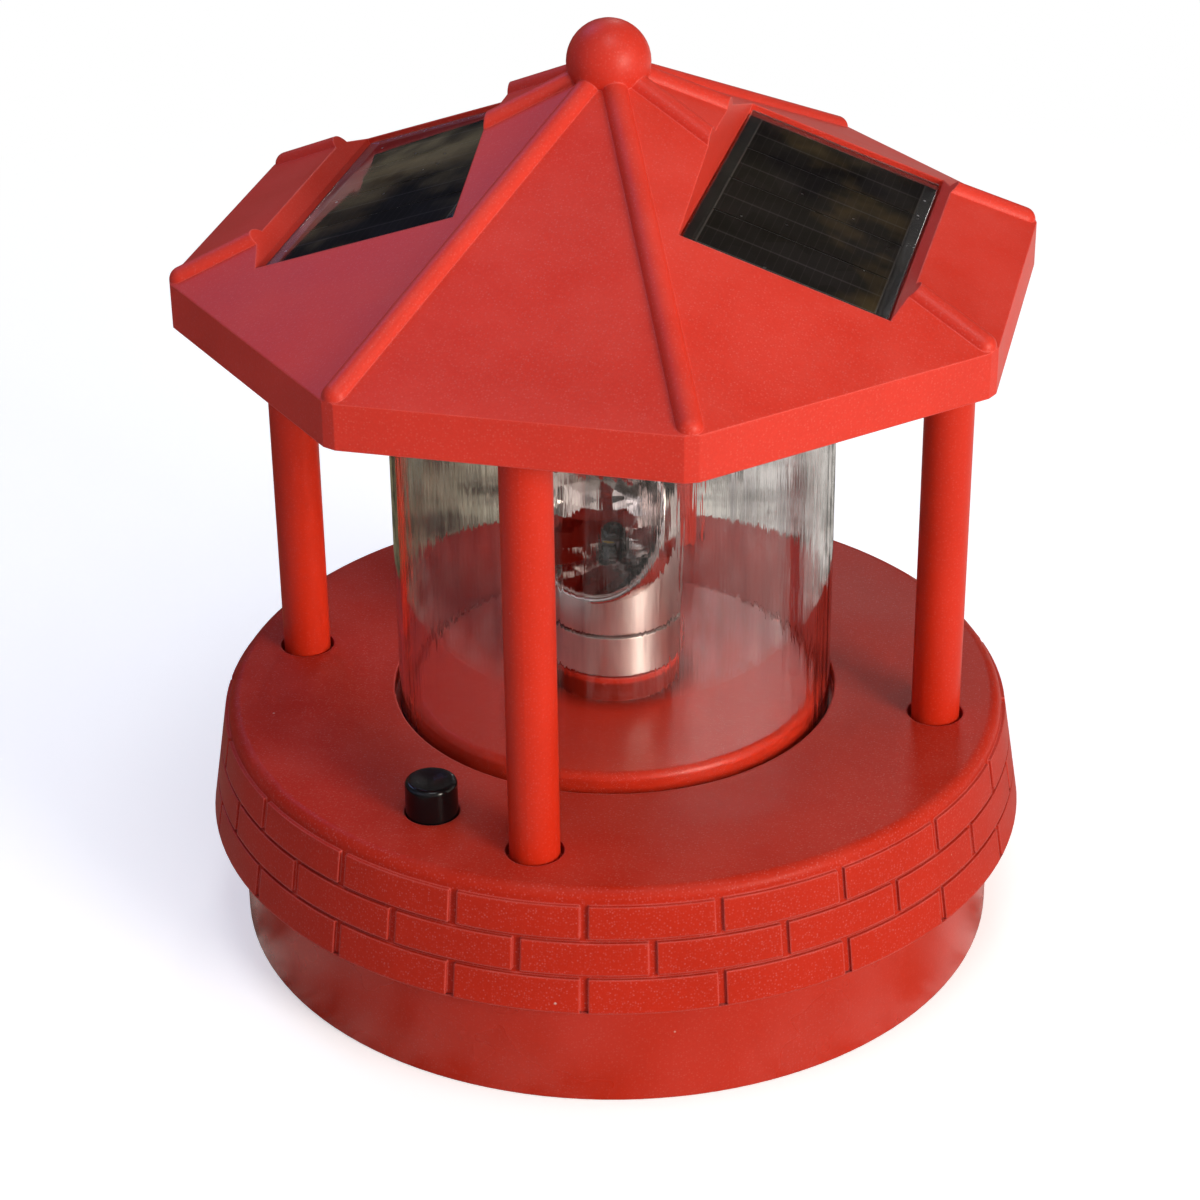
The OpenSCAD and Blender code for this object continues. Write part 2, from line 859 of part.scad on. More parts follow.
module disc_outline() {
    translate([0, disc_low_z])
        square([disc_r - disc_round, disc_t]);
    translate([disc_r - disc_skirt_wall, groove_z])
        square([disc_skirt_wall, disc_z - disc_round - groove_z]);
    translate([disc_r - disc_round, disc_z - disc_round])
        circle(r = disc_round);
    translate([0, disc_z - over])
        square([collar_r, collar_z - disc_z + over]);
    translate([0, bush_low_z])
        square([bush_boss_r, disc_z - bush_low_z]);
}

module inner_disc() {
    color(red)
        difference() {
            union() {
                rotate_extrude()
                    disc_outline();
                at_disc_bosses()
                    translate([0, 0, groove_z])
                        cylinder(h = disc_z - disc_round - groove_z, r = disc_boss_r);
                at_drive_posts()
                    translate([0, 0, plate_z])
                        cylinder(h = disc_low_z - plate_z + over, r = drive_post_r);
            }
            translate([0, 0, bush_low_z - over])
                cylinder(h = disc_up + overall_h, r = bush_r + fit_gap);
            translate([0, 0, collar_z - bush_flange_h + clear_gap])
                cylinder(h = overall_h, r = bush_flange_r + fit_gap);
            at_disc_bosses()
                translate([0, 0, groove_z - over])
                    cylinder(h = disc_screw_len - ledge_t + over + clear_gap, r = small_screw_r + fit_gap);
            at_drive_posts()
                translate([0, 0, plate_z - over])
                    cylinder(h = drive_screw_len - plate_t + over + clear_gap, r = screw_r + fit_gap);
        }
}

module disc_screws() {
    color(silver)
        at_disc_bosses()
            translate([0, 0, ledge_low_z])
                screw_up(small_screw_r, small_head_r, small_head_h, disc_screw_len);
}

module rotor_bush() {
    color(brass) {
        difference() {
            union() {
                translate([0, 0, bush_low_z])
                    cylinder(h = bush_top_z - bush_low_z, r = bush_r);
                translate([0, 0, bush_top_z - bush_flange_h])
                    cylinder(h = bush_flange_h, r = bush_flange_r);
            }
            translate([0, 0, bush_low_z - over])
                cylinder(h = bush_top_z - bush_low_z + 2 * over, r = bush_in_r);
        }
    }
}

// Turning lamp head

module rotor_hub() {
    color(silver)
        difference() {
            union() {
                translate([0, 0, gear_z])
                    cylinder(h = head_z - gear_z + over, r = hub_r);
                translate([0, 0, head_z])
                    cylinder(h = head_ring_h, r = head_r);
                translate([0, 0, seam_z - over])
                    cylinder(h = seam_h + over, r = head_spigot_r);
            }
            translate([0, 0, gear_z - over])
                cylinder(h = overall_h, r = hub_bore_r);
        }
}

// Places the frame of the reflector's bowl: +Z points out of the bowl
module at_bowl() {
    rotate([0, 0, bowl_face])
        translate([bowl_out, 0, bowl_z])
            rotate([0, 90 - bowl_tilt, 0])
                children();
}

// Radius of the bowl's inner face at a depth behind the bezel's front
function bowl_inner_r(depth) = bowl_in_r * sqrt(1 - depth / bowl_d);

module bowl_outside() {
    rotate_extrude()
        polygon(concat(
            [[0, 0], [bowl_r, 0], [bowl_r, -bezel_d]],
            [for (i = [0:bowl_steps])
                let (depth = bezel_d + (bowl_d - bezel_d) * i / bowl_steps)
                [bowl_inner_r(depth) + bowl_wall, -depth]],
            [[bowl_wall, -bowl_d - bowl_wall], [0, -bowl_d - bowl_wall]]
        ));
}

module bowl_inside() {
    rotate_extrude()
        polygon(concat(
            [[0, over], [bowl_in_r, over]],
            [for (i = [0:bowl_steps])
                let (depth = bowl_d * i / bowl_steps)
                [bowl_inner_r(depth), -depth]]
        ));
}

module reflector() {
    color(silver)
        difference() {
            union() {
                translate([0, 0, reflector_z])
                    cylinder(h = head_top_z - reflector_z, r = head_r);
                at_bowl()
                    bowl_outside();
            }
            at_bowl() {
                bowl_inside();
                cylinder(h = bowl_r, r = 2 * bowl_r);
            }
            translate([0, 0, reflector_z - over])
                cylinder(h = bowl_up, r = hub_bore_r);
        }
}

// Points of one involute flank, from the root to the tip
function involute_turn(base_r, r) =
    let (a = acos(base_r / r)) tan(a) * 180 / PI - a;

function tooth_points(teeth, side, steps) =
    let (pitch_r = gear_module * teeth / 2)
    let (base_r = pitch_r * cos(pressure_angle))
    let (tip_r = pitch_r + gear_module * addendum_share)
    let (root_r = pitch_r - gear_module * dedendum_share)
    let (start_r = max(base_r, root_r))
    let (half_turn = 90 / teeth * (1 - backlash_share) + involute_turn(base_r, pitch_r))
    [for (i = [0:steps])
        let (share = side > 0 ? (steps - i) / steps : i / steps)
        let (r = start_r + (tip_r - start_r) * share)
        let (turn = side * (half_turn - involute_turn(base_r, r)))
        [r * cos(turn), r * sin(turn)]];

function turned(points, turn) =
    [for (p = points) [p[0] * cos(turn) - p[1] * sin(turn), p[0] * sin(turn) + p[1] * cos(turn)]];

// One tooth runs out along its trailing flank and back along its leading one
function gear_points(teeth) =
    let (root_r = gear_module * (teeth / 2 - dedendum_share))
    [for (i = [0:teeth - 1])
        let (half_turn = 180 / teeth)
        for (p = turned(
            concat(
                [[root_r * cos(-half_turn), root_r * sin(-half_turn)]],
                tooth_points(teeth, -1, flank_steps),
                tooth_points(teeth, 1, flank_steps)
            ), 360 / teeth * i))
            p];

module toothed_wheel(teeth, bore_r, first_turn) {
    translate([0, 0, gear_z])
        difference() {
            rotate([0, 0, first_turn])
                linear_extrude(height = gear_w)
                    polygon(gear_points(teeth));
            translate([0, 0, -over])
                cylinder(h = gear_w + 2 * over, r = bore_r);
        }
}

// A tooth of the gear points at the pinion, which turns a gap towards it
module rotor_gear() {
    color(white)
        toothed_wheel(gear_teeth, hub_r + fit_gap, 90);
}

module drive_pinion() {
    color(brass)
        translate([0, motor_y, 0])
            toothed_wheel(pinion_teeth, shaft_r + fit_gap, -90 + 180 / pinion_teeth);
}

module led_post() {
    color(white)
        difference() {
            union() {
                translate([0, 0, plate_z - plate_t])
                    cylinder(h = post_top_z - plate_z + plate_t, r = post_r);
                translate([0, 0, plate_z])
                    cylinder(h = post_flange_h, r = post_flange_r);
            }
            translate([0, 0, plate_z - plate_t - over])
                cylinder(h = post_top_z, r = post_bore_r);
        }
}

module led_lamp() {
    color(white) {
        translate([0, 0, post_top_z])
            cylinder(h = led_flange_h, r = led_flange_r);
        translate([0, 0, post_top_z])
            cylinder(h = led_h - led_r, r = led_r);
        translate([0, 0, led_top_z - led_r])
            sphere(r = led_r);
    }
}

// Drive

module drive_plate() {
    color(black)
        difference() {
            translate([0, 0, plate_z - plate_t])
                linear_extrude(height = plate_t) {
                    translate([-plate_half_x, -plate_front_y + plate_round])
                        square([2 * plate_half_x, plate_back_y + plate_front_y - 2 * plate_round]);
                    translate([-plate_half_x + plate_round, -plate_front_y])
                        square([2 * (plate_half_x - plate_round), plate_back_y + plate_front_y]);
                    for (x = [-plate_half_x + plate_round, plate_half_x - plate_round])
                        for (y = [-plate_front_y + plate_round, plate_back_y - plate_round])
                            translate([x, y])
                                circle(r = plate_round);
                }
            translate([0, 0, plate_z - plate_t - over])
                cylinder(h = plate_t + 2 * over, r = post_r + fit_gap);
            translate([0, motor_y, plate_z - plate_t - over])
                cylinder(h = plate_t + 2 * over, r = motor_boss_r + fit_gap);
            for (x = [-motor_screw_x, motor_screw_x])
                translate([x, motor_y, plate_z - plate_t - over])
                    cylinder(h = plate_t + 2 * over, r = small_screw_r + clear_gap);
            at_drive_posts()
                translate([0, 0, plate_z - plate_t - over])
                    cylinder(h = plate_t + 2 * over, r = screw_r + clear_gap);
        }
}

module drive_screws() {
    color(silver)
        at_drive_posts()
            translate([0, 0, plate_z - plate_t])
                screw_up(screw_r, screw_head_r, head_h, drive_screw_len);
}

module motor() {
    color(silver)
        difference() {
            translate([0, motor_y, motor_low_z]) {
                cylinder(h = motor_h, r = motor_r);
                translate([0, 0, motor_h - over])
                    cylinder(h = motor_boss_h + over, r = motor_boss_r);
            }
            translate([0, motor_y, plate_z - plate_t - shaft_deep])
                cylinder(h = overall_h, r = shaft_r + run_gap);
            for (x = [-motor_screw_x, motor_screw_x])
                translate([x, motor_y, plate_z - motor_screw_len - clear_gap])
                    cylinder(h = overall_h, r = small_screw_r + fit_gap);
        }
}

module motor_shaft() {
    low_z = plate_z - plate_t - shaft_deep + clear_gap;
    color(silver)
        translate([0, motor_y, low_z])
            cylinder(h = shaft_top_z - low_z, r = shaft_r);
}

module motor_screws() {
    color(silver)
        for (x = [-motor_screw_x, motor_screw_x])
            translate([x, motor_y, plate_z])
                screw_down(small_screw_r, small_head_r, small_head_h, motor_screw_len);
}

// Push button, switch and control board

module button_cap() {
    color(black)
        translate([button_x, button_y, 0])
            difference() {
                union() {
                    rotate_extrude() {
                        translate([0, button_flange_z])
                            square([button_r, button_top_z - button_round - button_flange_z]);
                        translate([0, button_top_z - 2 * button_round])
                            square([button_r - button_round, 2 * button_round]);
                        intersection() {
                            translate([button_r - button_round, button_top_z - button_round])
                                circle(r = button_round);
                            square([button_r, overall_h]);
                        }
                    }
                    translate([0, 0, button_flange_z])
                        cylinder(h = button_flange_h, r = button_flange_r);
                }
                translate([0, 0, button_flange_z - over])
                    cylinder(h = plunger_bore_deep + over, r = plunger_r + fit_gap);
            }
}

module switch_plunger() {
    low_z = switch_top_z - plunger_deep;
    color(white)
        translate([button_x, button_y, low_z])
            cylinder(h = button_flange_z + plunger_bore_deep - low_z, r = plunger_r);
}

module button_spring() {
    color(silver)
        translate([button_x, button_y, 0])
            ring(spring_r, spring_r - spring_wall, switch_top_z, button_flange_z - switch_top_z);
}

module switch_body() {
    color(black)
        translate([button_x, button_y, 0])
            difference() {
                plinth(switch_side, switch_side, board_top_z, switch_top_z - board_top_z);
                translate([0, 0, switch_top_z - plunger_deep - button_travel - clear_gap])
                    cylinder(h = switch_side, r = plunger_r + run_gap);
            }
}

module circuit_board() {
    color(board_green)
        difference() {
            translate([board_x, board_y, 0])
                plinth(board_len, board_wide, board_z, board_t);
            for (place = board_screws_xy)
                translate([place[0], place[1], board_z - over])
                    cylinder(h = board_t + 2 * over, r = small_screw_r + clear_gap);
        }
}

// A controller chip, a coil and a capacitor stand on the board
module board_parts() {
    chip_len = board_len / 5;
    chip_wide = board_wide / 6;
    chip_h = board_t;
    coil_r = board_wide / 11;
    coil_h = 2 * board_t;
    color(black) {
        translate([board_x - board_len / 8, board_y + board_wide / 4, 0])
            plinth(chip_len, chip_wide, board_top_z, chip_h);
        translate([board_x + board_len / 5, board_y + board_wide / 4, board_top_z])
            cylinder(h = coil_h, r = coil_r);
        translate([board_x + board_len / 5, board_y, 0])
            plinth(chip_wide, chip_wide / 2, board_top_z, chip_h);
    }
}

module board_screws() {
    color(silver)
        for (place = board_screws_xy)
            translate([place[0], place[1], board_z])
                screw_up(small_screw_r, small_head_r, small_head_h, board_screw_len);
}

// Plain lower ring and floor, with the battery bay

module base_cover() {
    color(red)
        difference() {
            union() {
                rotate_extrude()
                    difference() {
                        square([base_r, spigot_top_z]);
                        translate([0, floor_top_z])
                            square([base_r - base_wall, overall_h]);
                        translate([0, -over])
                            square([base_r - base_wall, floor_z + over]);
                    }
                at_housing_bosses()
                    translate([0, 0, floor_z])
                        cylinder(h = housing_split_z - floor_z, r = housing_post_r);
                translate([0, battery_y, 0])
                    plinth(2 * (bay_half_x + bay_wall), 2 * (bay_half_y + bay_wall),
                        floor_z, bay_top_z + bay_wall - floor_z);
                translate([door_screw_x, battery_y, floor_z])
                    cylinder(h = door_post_h, r = door_post_r);
            }
            translate([0, battery_y, 0])
                plinth(2 * bay_half_x, 2 * bay_half_y, floor_z - over, bay_top_z - floor_z + over);
            door_outline(door_gap, floor_z - over, door_t + over);
            translate([door_screw_x, battery_y, floor_z])
                cylinder(h = door_screw_len + clear_gap, r = small_screw_r + fit_gap);
            at_housing_bosses() {
                translate([0, 0, -over])
                    cylinder(h = screw_seat_z + over, r = screw_head_r + clear_gap);
                cylinder(h = overall_h, r = screw_r + clear_gap);
            }
            for (x = [-1, 1])
                translate([x * (bay_half_x - contact_t / 2 - fit_gap), battery_y, bay_top_z - over])
                    cylinder(h = bay_wall + 2 * over, r = lead_r + clear_gap);
        }
}

// The battery door's plan, opened by grow
module door_outline(grow, z, h) {
    translate([0, battery_y, 0]) {
        plinth(2 * (door_half_x + grow), 2 * (door_half_y + grow), z, h);
        translate([door_screw_x, 0, z])
            cylinder(h = h, r = door_lobe_r + grow);
    }
}

module battery_door() {
    color(red)
        difference() {
            door_outline(0, floor_z, door_t - fit_gap);
            translate([door_screw_x, battery_y, floor_z - over])
                cylinder(h = door_t + 2 * over, r = small_screw_r + clear_gap);
            translate([door_screw_x, battery_y, floor_z - over])
                cylinder(h = over + door_t / 2, r = small_head_r + clear_gap);
        }
}

module door_screw() {
    seat_z = floor_z + door_t / 2;
    color(silver)
        translate([door_screw_x, battery_y, seat_z])
            screw_up(small_screw_r, small_head_r, door_t / 2, door_screw_len - door_t / 2);
}

module base_screws() {
    color(silver)
        at_housing_bosses()
            translate([0, 0, screw_seat_z])
                screw_up(screw_r, screw_head_r, head_h, housing_screw_len);
}

module battery_cell() {
    color(silver)
        translate([cell_x - cell_len / 2, battery_y, cell_z])
            rotate([0, 90, 0]) {
                cylinder(h = cell_len, r = cell_r);
                cylinder(h = cell_len + cell_nub_h, r = cell_nub_r);
            }
}

// A flat plate meets the cell's button, and a spring pushes on its other end
module battery_contacts() {
    low_z = cell_z - cell_nub_r;
    plate_x = bay_half_x - contact_t - fit_gap;
    color(brass) {
        for (x = [-plate_x - contact_t, plate_x])
            translate([x, battery_y - cell_nub_r, low_z])
                cube([contact_t, 2 * cell_nub_r, bay_top_z - clear_gap - low_z]);
        translate([-plate_x, battery_y, cell_z])
            rotate([0, 90, 0])
                ring(contact_spring_r, contact_spring_r - spring_wall, -contact_t / 2,
                    contact_spring_len + contact_t / 2 - fit_gap);
    }
}

// Leads, which lie in the roof, in two pillars and in the base

module panel_leads() {
    from_z = panel_mid_z - seat_deep;
    roof_z = ceiling_top_z + lead_r + fit_gap;
    under_z = socket_low_z - 3 * lead_r;
    right_y = board_y + board_wide / 3;
    right_x = plate_half_x + 4 * lead_r;
    left_x = board_x - board_len / 2 + 2 * lead_r;
    left_y = board_y - board_wide / 6;
    color(black) {
        lead([
            [panel_mid_x, 0, from_z],
            [panel_mid_x, 0, roof_z],
            [pillar_circle_r, 0, roof_z],
            [pillar_circle_r, 0, under_z],
            [right_x, 0, under_z],
            [right_x, right_y, under_z],
            [board_x + 3 * board_len / 8, right_y, under_z],
            [board_x + 3 * board_len / 8, right_y, board_z]
        ]);
        lead([
            [-panel_mid_x, 0, from_z],
            [-panel_mid_x, 0, roof_z],
            [-pillar_circle_r, 0, roof_z],
            [-pillar_circle_r, 0, under_z],
            [left_x, 0, under_z],
            [left_x, left_y, under_z],
            [left_x, left_y, board_z]
        ]);
    }
}

module battery_leads() {
    lead_x = bay_half_x - contact_t / 2 - fit_gap;
    low_z = bay_top_z - clear_gap;
    over_z = bay_top_z + bay_wall + 2 * lead_r;
    end_y = board_y + board_wide / 3;
    color(red) {
        lead([
            [lead_x, battery_y, low_z],
            [lead_x, battery_y, over_z],
            [lead_x, end_y, over_z],
            [board_x + board_len / 4, end_y, over_z],
            [board_x + board_len / 4, end_y, board_z]
        ]);
        lead([
            [-lead_x, battery_y, low_z],
            [-lead_x, battery_y, over_z],
            [-lead_x, end_y, over_z],
            [-lead_x, end_y, board_z]
        ]);
    }
}

module motor_leads() {
    run_z = motor_low_z - 3 * lead_r;
    side_x = board_x - 3 * board_len / 8;
    color(black)
        lead([
            [-motor_r / 2, motor_y - motor_r / 2, motor_low_z],
            [-motor_r / 2, motor_y - motor_r / 2, run_z],
            [side_x, motor_y - motor_r / 2, run_z],
            [side_x, board_y, run_z],
            [side_x, board_y, board_z]
        ]);
}

module led_leads() {
    under_z = plate_z - plate_t - 3 * lead_r;
    end_y = board_y + board_wide / 2 - 2 * lead_r;
    color(white)
        lead([
            [0, 0, post_top_z],
            [0, 0, under_z],
            [0, end_y, under_z],
            [board_x + board_len / 8, end_y, under_z],
            [board_x + board_len / 8, end_y, board_z]
        ]);
}

roof_shell();
ceiling_plate();
roof_screws();
solar_board(-1);  // solar_board_left
solar_board(1);  // solar_board_right
solar_cells(-1);  // solar_cells_left
solar_cells(1);  // solar_cells_right
solar_cover(-1);  // solar_cover_left
solar_cover(1);  // solar_cover_right
pillar(-90);  // pillar_front
pillar(90);  // pillar_back
pillar(180);  // pillar_left
pillar(0);  // pillar_right
lens_tube();
tube_seal_top();
tube_seal_bottom();
deck_housing();
inner_disc();
disc_screws();
rotor_bush();
rotor_hub();
reflector();
rotor_gear();
led_post();
led_lamp();
drive_plate();
drive_screws();
motor();
motor_shaft();
drive_pinion();
motor_screws();
button_cap();
switch_plunger();
button_spring();
switch_body();
circuit_board();
board_parts();
board_screws();
base_cover();
base_screws();
battery_door();
door_screw();
battery_cell();
battery_contacts();
panel_leads();
battery_leads();
motor_leads();
led_leads();
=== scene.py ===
"""Looks of a solar garden lighthouse lantern, laid out as a Blender add-on and run as a script.

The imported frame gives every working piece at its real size, in metres.
This file gives each of them its finish, and models the plated lamp bowl, the light source,
the push button, its spring and the resin over the solar cells in finer detail than the frame.
"""

import math

import bmesh
import bpy
from bpy.props import FloatProperty, FloatVectorProperty, IntProperty, PointerProperty
from mathutils import Matrix, Vector


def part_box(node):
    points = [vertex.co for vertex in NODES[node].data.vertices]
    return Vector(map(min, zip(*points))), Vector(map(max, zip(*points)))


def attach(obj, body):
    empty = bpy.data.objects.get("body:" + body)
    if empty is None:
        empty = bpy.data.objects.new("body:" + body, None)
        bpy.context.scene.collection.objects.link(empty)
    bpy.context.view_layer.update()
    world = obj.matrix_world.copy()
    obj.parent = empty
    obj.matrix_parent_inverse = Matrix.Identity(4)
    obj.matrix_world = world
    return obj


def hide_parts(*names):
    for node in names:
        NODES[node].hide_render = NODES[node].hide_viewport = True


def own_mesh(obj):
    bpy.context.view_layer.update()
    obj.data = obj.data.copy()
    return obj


bl_info = {
    "name": "Garden Lighthouse Lantern",
    "version": (1, 0, 0),
    "blender": (4, 5, 0),
    "location": "View3D > Sidebar > Lantern",
    "description": "Finishes and fine pieces of a solar garden lighthouse lantern",
    "category": "Object",
}

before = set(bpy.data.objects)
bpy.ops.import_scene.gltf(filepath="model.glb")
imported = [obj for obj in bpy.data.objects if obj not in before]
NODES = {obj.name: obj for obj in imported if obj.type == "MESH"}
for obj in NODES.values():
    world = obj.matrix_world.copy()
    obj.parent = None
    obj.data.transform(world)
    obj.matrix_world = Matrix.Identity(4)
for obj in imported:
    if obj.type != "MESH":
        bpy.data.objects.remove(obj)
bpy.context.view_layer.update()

MM = 0.001

# Places and sizes of the frame's pieces, in the frame's own axes
PANEL_SLOPE = math.radians(18.95)
PANEL_MID_X = 37.1 * MM
PANEL_MID_Z = 143.8 * MM
PANEL_LEN = 37 * MM
PANEL_W = 64.8 * MM
PANEL_SEAT_DEEP = 3.1 * MM
PANEL_BOARD_T = 1.2 * MM
CELL_T = 0.3 * MM
RESIN_T = 0.8 * MM
CELL_BORDER = 2.4 * MM
CELL_GAP = 0.5 * MM
CELL_COUNT = 4
BOWL_FACE = math.radians(-118)
BOWL_TILT = math.radians(16)
BOWL_OUT = 7 * MM
BOWL_Z = 84.5 * MM
BOWL_R = 18 * MM
BOWL_WALL = 1.2 * MM
BOWL_DEPTH = 15 * MM
BEZEL_DEPTH = 4.5 * MM
HEAD_R = 12.5 * MM
HEAD_BORE_R = 3.2 * MM
HEAD_TOP_Z = 79.54 * MM
SEAM_Z = 60.7 * MM
SEAM_H = 0.6 * MM
TUBE_R = 41 * MM

# Patterns printed on the cells and woven in the boards
FINGER_PITCH = 1.6 * MM
WEAVE_PITCH = 0.7 * MM
BORDER_LINE_FROM, BORDER_LINE_TO = 0.3 * MM, 0.25 * MM
TRACK_W = 0.4 * MM
TRACK_PITCH_X, TRACK_PITCH_Y = 6.5 * MM, 3.1 * MM

# Where the painted reflection over the clear tube's upper part starts, and how ragged its lower
# edge is
REFLECTION_FROM, REFLECTION_TO = 72 * MM, 90 * MM
REFLECTION_RAGGED = 26 * MM

# Free space round a resin slab and under it
RESIN_PLAY = 0.1 * MM
RESIN_LIFT = 0.02 * MM

# Least angle, in degrees, that a finely modelled piece shows as a sharp edge
SHARP_ANGLE = 32


def srgb(red, green, blue):
    """Linear colour of a colour picker's red, green and blue, from 0 to 255."""

    def linear(value):
        value /= 255
        return value / 12.92 if value <= 0.04045 else ((value + 0.055) / 1.055) ** 2.4

    return (linear(red), linear(green), linear(blue))


def paint(red, green, blue):
    """A colour picker's colour as four values."""
    return (*srgb(red, green, blue), 1.0)


def shade(colour, share):
    """The colour made lighter or darker, as four values."""
    return (*(min(1.0, value * share) for value in colour[:3]), 1.0)


# Settings


def settings(group):
    return getattr(bpy.context.scene, "lantern_" + group)


def colour_setting(name, description, red, green, blue):
    """A colour, given as a colour picker's values."""
    return FloatVectorProperty(
        name=name,
        description=description,
        subtype="COLOR",
        size=3,
        min=0,
        max=1,
        default=srgb(red, green, blue),
    )


def length_setting(name, description, default, **limits):
    """A length. It and its limits are given in millimetres."""
    limits = {key: value * MM for key, value in limits.items()}
    return FloatProperty(
        name=name, description=description, subtype="DISTANCE", default=default * MM, **limits
    )


def angle_setting(name, description, degrees):
    return FloatProperty(
        name=name, description=description, subtype="ANGLE", default=math.radians(degrees)
    )


def share_setting(name, description, default):
    return FloatProperty(
        name=name, description=description, subtype="FACTOR", min=0, max=1, default=default
    )


def level_setting(name, description, default):
    return FloatProperty(name=name, description=description, min=0, default=default)


def count_setting(name, description, least, most, default):
    return IntProperty(name=name, description=description, min=least, max=most, default=default)


class LanternColours(bpy.types.PropertyGroup):
    """Colours of the lantern's finishes."""

    roof: colour_setting("Roof", "Moulded plastic of the roof", 205, 50, 33)
    pillars: colour_setting("Pillars", "Moulded plastic of the four pillars", 198, 42, 18)
    deck: colour_setting("Deck", "Moulded plastic of the deck and its brick band", 178, 37, 16)
    base: colour_setting("Base", "Moulded plastic of the base ring and door", 180, 38, 16)
    # Slightly pink: the plating's own colour with a painted tint of the red parts that it reflects
    plating: colour_setting("Plating", "Bright plating of the lamp head", 234, 218, 212)
    cells: colour_setting("Solar cells", "Silicon of the solar cells", 18, 14, 15)
    button: colour_setting("Button", "Glossy plastic of the push button", 14, 13, 15)
    dust: colour_setting("Dust", "Pale dust that settles on level faces", 214, 190, 178)


class LanternSurface(bpy.types.PropertyGroup):
    """Texture of the moulded pieces."""

    edge_radius: length_setting(
        "Edge radius", "Radius that the light sees on a moulded edge", 0.35, min=0
    )
    grain_size: length_setting("Grain size", "Size of one bump of the grain", 0.55, min=0.05)
    grain_depth: length_setting("Grain depth", "Height of the moulded grain", 0.03, min=0)
    flecks: share_setting("Flecks", "Share of the surface that pale flecks may reach", 0.06)
    scuffs: share_setting("Scuffs", "Share of the surface that scuffs may reach", 0.3)
    dust: share_setting("Dust", "How much dust lies on level faces", 0.035)


class LanternShapes(bpy.types.PropertyGroup):
    """Sizes of the finely modelled pieces."""

    bezel_round: length_setting(
        "Bezel rounding", "Rounding of the bowl's bright rim", 0.5, min=0.1, max=0.58
    )
    mirror_rings: count_setting("Mirror rings", "Rings of facets in the bowl", 3, 12, 7)
    mirror_sectors: count_setting("Mirror sectors", "Facets in each ring", 12, 36, 24)
    button_dish: length_setting(
        "Button dish", "Depth of the hollow in the push button's top", 0.35, min=0, max=0.8
    )
    spring_turns: count_setting("Spring turns", "Turns of the button's spring", 3, 8, 5)
    spring_wire: length_setting(
        "Spring wire", "Diameter of the push button's spring wire", 0.5, min=0.3, max=0.6
    )
    resin_round: length_setting(
        "Resin rounding", "Rounding of the resin slab over the cells", 0.35, min=0.1, max=0.6
    )


class LanternStage(bpy.types.PropertyGroup):
    """Camera and lights."""

    lens: FloatProperty(
        name="Lens",
        description="Focal length on a 36 mm sensor",
        unit="CAMERA",
        min=20,
        default=92.48,
    )
    distance: length_setting(
        "Distance", "From the camera to the point that it looks at", 581.99, min=200
    )
    elevation: angle_setting("Elevation", "Height of the camera above the horizon", 28.57)
    azimuth: angle_setting(
        "Azimuth", "Turn of the camera about the lantern, from the front to the right", 13.62
    )
    roll: angle_setting("Roll", "Roll of the camera about its view", -0.69)
    target_side: length_setting(
        "Target side", "Sideways place of the point that the camera looks at", -2.61
    )
    target_height: length_setting(
        "Target height", "Height of the point that the camera looks at", 61.77
    )
    key_level: level_setting("Key level", "Light on a face turned to the key panel", 0.77)
    top_level: level_setting("Top level", "Light on a face turned to the panel overhead", 0.24)
    fill_level: level_setting("Fill level", "Light on a face turned to the cool panel", 0.16)
    back_level: level_setting("Back level", "Light on a face turned to the panel behind", 0.06)
    sky_level: level_setting("Sky level", "Light that comes evenly from all round", 0.42)


# Node recipes


